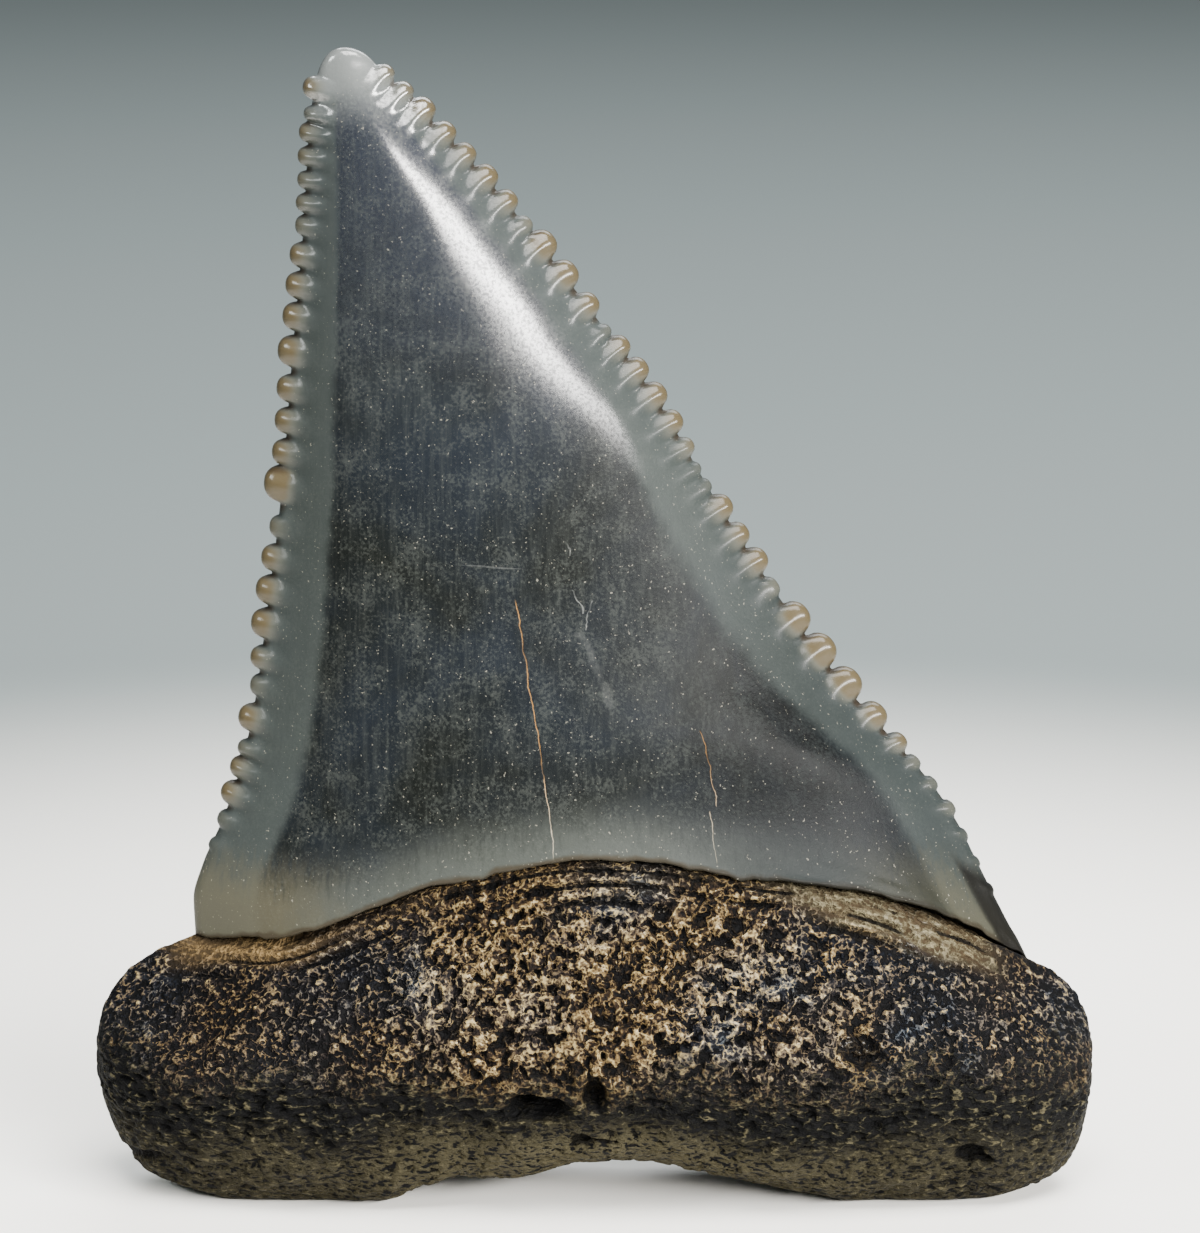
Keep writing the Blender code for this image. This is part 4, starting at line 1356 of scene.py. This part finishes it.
        # Painted shade: the notches between the beads laid brown.
        colour = nodes.lay(colour, self.notch, notch)
        colour = nodes.mix(heel * self.heel_strength, colour, self.heel)
        rim = nodes.math("MAXIMUM", bead.step(*self.dull_bead), strip.step(*self.dull_strip))
        coat = z.step(*self.gloss) * (1.0 - rim * z.step(*self.dull_top) * 0.85)
        nodes.fill(shader, {
            "Base Color": colour,
            "Roughness": grain * 0.22 + (self.roughness - 0.11) - bead * 0.08,
            "Normal": nodes.bump(streak * 0.12 + grain - cracks * 1.5, *self.bump),
            "Specular IOR Level": self.specular,
            "Coat Weight": coat * (grain.step(*self.sparkle) * 0.6 + 0.4) + bead * 0.2,
            "Coat Roughness": self.coat_roughness,
            "Coat IOR": self.coat_ior,
        })
        return made

    def lines(self, nodes: Nodes, place: Value, lines: tuple[Line, ...], wander: float) -> Value:
        """Draw thin bands on the tongue side, round lines that sag in the middle and wander a little.

        Along a line, t runs from 0 at its top to 1 at its bottom, and x is the straight line between its ends
        plus 4t(1 - t) times the sag.

        Args:
            nodes: the material's nodes.
            place: object coordinates in millimetres.
            lines: the lines.
            wander: how far the noise moves a line.

        Returns:
            A mask of the lines.
        """
        x, y, z = nodes.split(place)
        x = (nodes.noise(place, 1.2, 3.0, 0.55) - 0.5) * wander + x
        every = 0.0
        for line in lines:
            t = nodes.math("DIVIDE", line.top - z, line.top - line.bottom, clamp=True)
            middle = t * (line.end - line.start) + line.start + t * (1.0 - t) * (4 * line.sag)
            band = nodes.math("ABSOLUTE", x - middle).step(line.width * 1.5, line.width * 0.5)
            band = band * t.step(0.0, 0.04) * t.step(1.0, 0.96) * line.strength
            every = nodes.math("MAXIMUM", every, band)
        return every * nodes.math("LESS_THAN", y, PLANE_BACK)


@dataclass(frozen=True)
class RootFinish:
    """Blue-black fossil bone with cream crumbs, brown in the middle, a dark olive mesh lower down, and
    painted shade and bounce light.
    """

    black: Colour = rgb(2, 2, 3)
    warm_dark: Colour = rgb(30, 22, 14)
    slate: Colour = rgb(50, 56, 62)
    stain: Colour = rgb(50, 40, 26)
    warm_band: Colour = rgb(120, 98, 64)
    grey_band: Colour = rgb(108, 101, 78)
    dark: Layer = Layer(rgb(10, 13, 19), 0.1, 0.32)
    tan: Layer = Layer(rgb(84, 68, 43), 0.32, 0.52)
    cream: Layer = Layer(rgb(130, 113, 74), 0.52, 0.86)
    # the lower zone: the bone's olive mesh, made darker in part as painted shade
    olive_dark: Layer = Layer(rgb(12, 12, 9), 0.14, 0.34)
    olive: Layer = Layer(rgb(66, 61, 44), 0.34, 0.72, 0.9)
    # the very bottom: the bone's round-pored sole, made paler in part as painted bounce light
    foot: Layer = Layer(rgb(52, 48, 34), -0.04, 0.1)
    foot_pale: Layer = Layer(rgb(66, 61, 44), 0.4, 0.7, 0.5)
    # painted shade: pits and hollows laid near black
    pit_shade: Layer = Layer(black, 0.35, 0.65, 0.9)
    # painted shadow: a black line just under the enamel's edge
    seam: Layer = Layer(black, 0.26, 0.1, 0.75)
    band_sides: Range = (-8.0, 6.0)
    band_strength: float = 0.9
    shine: Range = (0.5, 0.75)
    shine_strength: float = 0.35
    bump: Range = (0.9, 0.16)
    roughness: float = 0.7
    specular: float = 0.06
    coat_roughness: float = 0.25

    def material(self, effects: Effects) -> bpy.types.Material:
        """Build the material.

        Args:
            effects: the shared node groups.

        Returns:
            The bone.
        """
        made, nodes, shader = new_material("fossil_bone")
        place = nodes.millimetres()
        (drift,) = nodes.effect(effects.drift, Vector=place, Size=2.2, Contrast=0.22)
        grain, _ = nodes.effect(effects.grain, Vector=place, Size=0.16, Speck_Size=0.14, Rarity=0.66)
        raised, pit, warm, low = nodes.marks("raised", "pit", "warm", "low")
        foot, neck, below, crowd = nodes.marks("foot", "neck", "below", "crowd")
        fine = grain - 0.5
        level = nodes.millimetres((2.0, 1.6, 1.0))
        crust = self.worms(nodes, self.bent(nodes, place, 0.5, 0.35), 0.4) * 0.36 + raised * 0.26
        crust = crust + (nodes.noise(place, 6.0, 2.0) - 0.46) * 1.2 + (crowd - 0.5) * 0.25 + fine * 0.3
        net = self.worms(nodes, level, 0.34) * 0.36 + raised * 0.25
        net = net + (nodes.noise(level, 7.5, 2.0) - 0.49) * 1.2 + fine * 0.3
        colour = nodes.lay(self.black, self.dark, crust, nodes.mix(warm, self.dark.colour, self.warm_dark))
        blue = nodes.mix(drift * (1.0 - warm), self.tan.colour, self.slate)
        colour = nodes.lay(colour, self.tan, crust, blue)
        colour = nodes.lay(colour, self.cream, crust)
        # Lower down: the bone's dark olive mesh, its darkness partly painted shade.
        lower = nodes.lay(nodes.lay(self.black, self.olive_dark, net), self.olive, net)
        # At the very bottom: the round-pored sole, paler in part as painted bounce light from the floor.
        sole = nodes.lay(nodes.lay(self.black, self.foot, net), self.foot_pale, net)
        colour = nodes.mix(foot, nodes.mix(low, colour, lower), sole)
        fibres = self.fibres(nodes, place, below) * crust.step(-0.1, 0.42)
        band = nodes.mix(fibres, self.stain, self.band(nodes, place))
        colour = nodes.mix(neck * self.band_strength, colour, band)
        # Painted shade: pits and hollows laid near black.
        colour = nodes.lay(colour, self.pit_shade, fine * 0.4 + pit)
        # Painted shadow: a black line just under the enamel's edge.
        colour = nodes.lay(colour, self.seam, below)
        height = crust + low * (net - crust) + fibres * 0.15
        height = nodes.math("MAXIMUM", nodes.math("MINIMUM", height, 0.8), 0.0)
        nodes.fill(shader, {
            "Base Color": colour,
            "Roughness": grain * 0.3 + (self.roughness - 0.15),
            "Normal": nodes.bump(height, *self.bump),
            "Specular IOR Level": self.specular,
            "Coat Weight": crust.step(*self.shine) * (1.0 - low) * self.shine_strength,
            "Coat Roughness": self.coat_roughness,
        })
        return made

    def worms(self, nodes: Nodes, place: Value, size: float) -> Value:
        """Build thin winding ridges: 1 where a noise passes its middle value, and 0 away from there."""
        return nodes.math("ABSOLUTE", nodes.noise(place, 1 / size, 2.0) - 0.5).step(0.085, 0.0)

    def band(self, nodes: Nodes, place: Value) -> Value:
        """Return the colour of the neck: warm tan at the left end, greyer at the right one."""
        return nodes.mix(nodes.split(place)[0].step(*self.band_sides), self.warm_band, self.grey_band)

    def bent(self, nodes: Nodes, place: Value, size: float, reach: float) -> Value:
        """Bend coordinates with a noise, so that what is built on them winds more.

        Args:
            nodes: the material's nodes.
            place: coordinates in millimetres.
            size: size of the noise in millimetres.
            reach: how far it moves a point.

        Returns:
            The bent coordinates.
        """
        noise = nodes.value("TexNoise", "Color", {"Vector": place, "Scale": 1 / size})
        centred = nodes.value("VectorMath", 0, {0: noise, 1: (0.5, 0.5, 0.5)}, operation="SUBTRACT")
        given = {0: centred, 1: (reach, reach, reach), 2: place}
        return nodes.value("VectorMath", 0, given, operation="MULTIPLY_ADD")

    def fibres(self, nodes: Nodes, place: Value, below: Value) -> Value:
        """Build the fine growth lines of the neck: a noise drawn out along the edge of the enamel.

        Args:
            nodes: the material's nodes.
            place: coordinates in millimetres.
            below: distance below the enamel.

        Returns:
            A mask of the paler lines.
        """
        x, y, _ = nodes.split(place)
        along = nodes.value("CombineXYZ", 0, {0: x * 0.45, 1: y * 0.3, 2: below * 4.5})
        return nodes.noise(along, 1.0, 4.0, 0.65).step(0.35, 0.65)


@dataclass(frozen=True)
class Lamp:
    """A soft panel that faces the tooth.

    turn is counted in degrees round the tooth from the camera's side towards +X, and up in degrees above the
    floor. The size is the panel's width and height, and the power is in watts.
    """

    name: str
    turn: float
    up: float
    size: tuple[float, float]
    power: float
    colour: tuple[float, float, float]


@dataclass(frozen=True)
class Studio:
    """The pale floor, the soft lights and the camera."""

    elevation: float = 12.5
    distance: float = 220.0
    target: tuple[float, float, float] = (0.2, PLANE_BACK, 21.2)
    pixels_per_mm: float = 27.3
    image_height: float = 1233.0
    sensor: float = 36.0
    clip: Range = (5.0, 20000.0)
    floor_half: float = 2500.0
    # the painted pool of light: near white out to the first distance, grey beyond the second
    floor_fade: Range = (34.0, 92.0)
    floor_roughness: float = 0.6
    near_floor: Colour = rgb(249, 247, 241)
    far_floor: Colour = rgb(100, 109, 109)
    sky: Colour = (0.72, 0.8, 0.86, 1.0)
    sky_strength: float = 0.22
    lamp_distance: float = 320.0
    lamps: tuple[Lamp, ...] = (
        Lamp("key", 42, 18.5, (340, 50), 4.4, (1.0, 0.98, 0.95)),
        Lamp("top", 20, 66, (260, 180), 3.2, (1.0, 0.98, 0.95)),
        Lamp("left_panel", -58, 30, (90, 60), 0.45, (0.95, 1.0, 0.98)),
        Lamp("back_panel", 170, 42, (260, 180), 1.1, (0.95, 0.98, 1.0)),
    )

    def camera(self) -> None:
        """Place the camera, with a lens that gives the photo's pixels per millimetre at the tooth."""
        data = bpy.data.cameras.new("camera")
        data.sensor_width = self.sensor
        data.lens = self.pixels_per_mm * self.distance * self.sensor / self.image_height
        data.clip_start, data.clip_end = (end * MM for end in self.clip)
        camera = show("camera", data)
        tilt = math.radians(self.elevation)
        back = Vector((0.0, -math.cos(tilt), math.sin(tilt))) * self.distance
        camera.location = (Vector(self.target) + back) * MM
        camera.rotation_euler = (math.pi / 2 - tilt, 0.0, 0.0)
        bpy.context.scene.camera = camera

    def floor(self) -> None:
        """Lay the floor: near white round the tooth, turning grey with the distance from it, a painted pool
        of light.
        """
        half = self.floor_half * MM
        mesh = bpy.data.meshes.new("floor")
        corners = [(-half, -half, 0), (half, -half, 0), (half, half, 0), (-half, half, 0)]
        mesh.from_pydata(corners, [], [(0, 1, 2, 3)])
        made, nodes, shader = new_material("pale_floor")
        away = nodes.value("VectorMath", "Value", {0: nodes.millimetres()}, operation="LENGTH")
        colour = nodes.mix(away.step(*self.floor_fade), self.near_floor, self.far_floor)
        nodes.fill(shader, {"Base Color": colour, "Roughness": self.floor_roughness})
        mesh.materials.append(made)
        show("floor", mesh)

    def light(self, lamp: Lamp) -> None:
        """Add a soft panel that faces the middle of the tooth.

        Args:
            lamp: the panel's place, size and light.
        """
        data = bpy.data.lights.new(lamp.name, "AREA")
        data.shape = "RECTANGLE"
        data.size, data.size_y = (side * MM for side in lamp.size)
        data.energy = lamp.power
        data.color = lamp.colour
        panel = show(lamp.name, data)
        a, b = math.radians(lamp.turn), math.radians(lamp.up)
        way = Vector((math.sin(a) * math.cos(b), -math.cos(a) * math.cos(b), math.sin(b)))
        panel.location = (Vector((0.0, *self.target[1:])) + way * self.lamp_distance) * MM
        panel.rotation_euler = (-way).to_track_quat("-Z", "Y").to_euler()

    def build(self) -> None:
        """Set up floor, camera, world and lights."""
        self.floor()
        self.camera()
        world = bpy.data.worlds.new("studio")
        world.use_nodes = True
        sky = world.node_tree.nodes["Background"].inputs
        sky["Color"].default_value = self.sky
        sky["Strength"].default_value = self.sky_strength
        bpy.context.scene.world = world
        for lamp in self.lamps:
            self.light(lamp)


def dress(piece: bpy.types.Object, material: bpy.types.Material) -> None:
    """Give a piece its finish and say what it is in the frame.

    Args:
        piece: the crown or the root.
        material: its finish.
    """
    piece.data.materials.append(material)
    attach(piece, BODY)
    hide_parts(NODE)
    log.info("%s: %d faces", piece.name, len(piece.data.polygons))


def main() -> None:
    """Build the tooth, dress it and set up the studio."""
    logging.basicConfig(level=logging.INFO, format="%(name)s: %(message)s")
    effects = Effects()
    crown = Crown()
    root = Root(crown)
    dress(crown.build(), EnamelFinish().material(effects))
    dress(root.build(), RootFinish().material(effects))
    Studio().build()


if __name__ == "__main__":
    main()
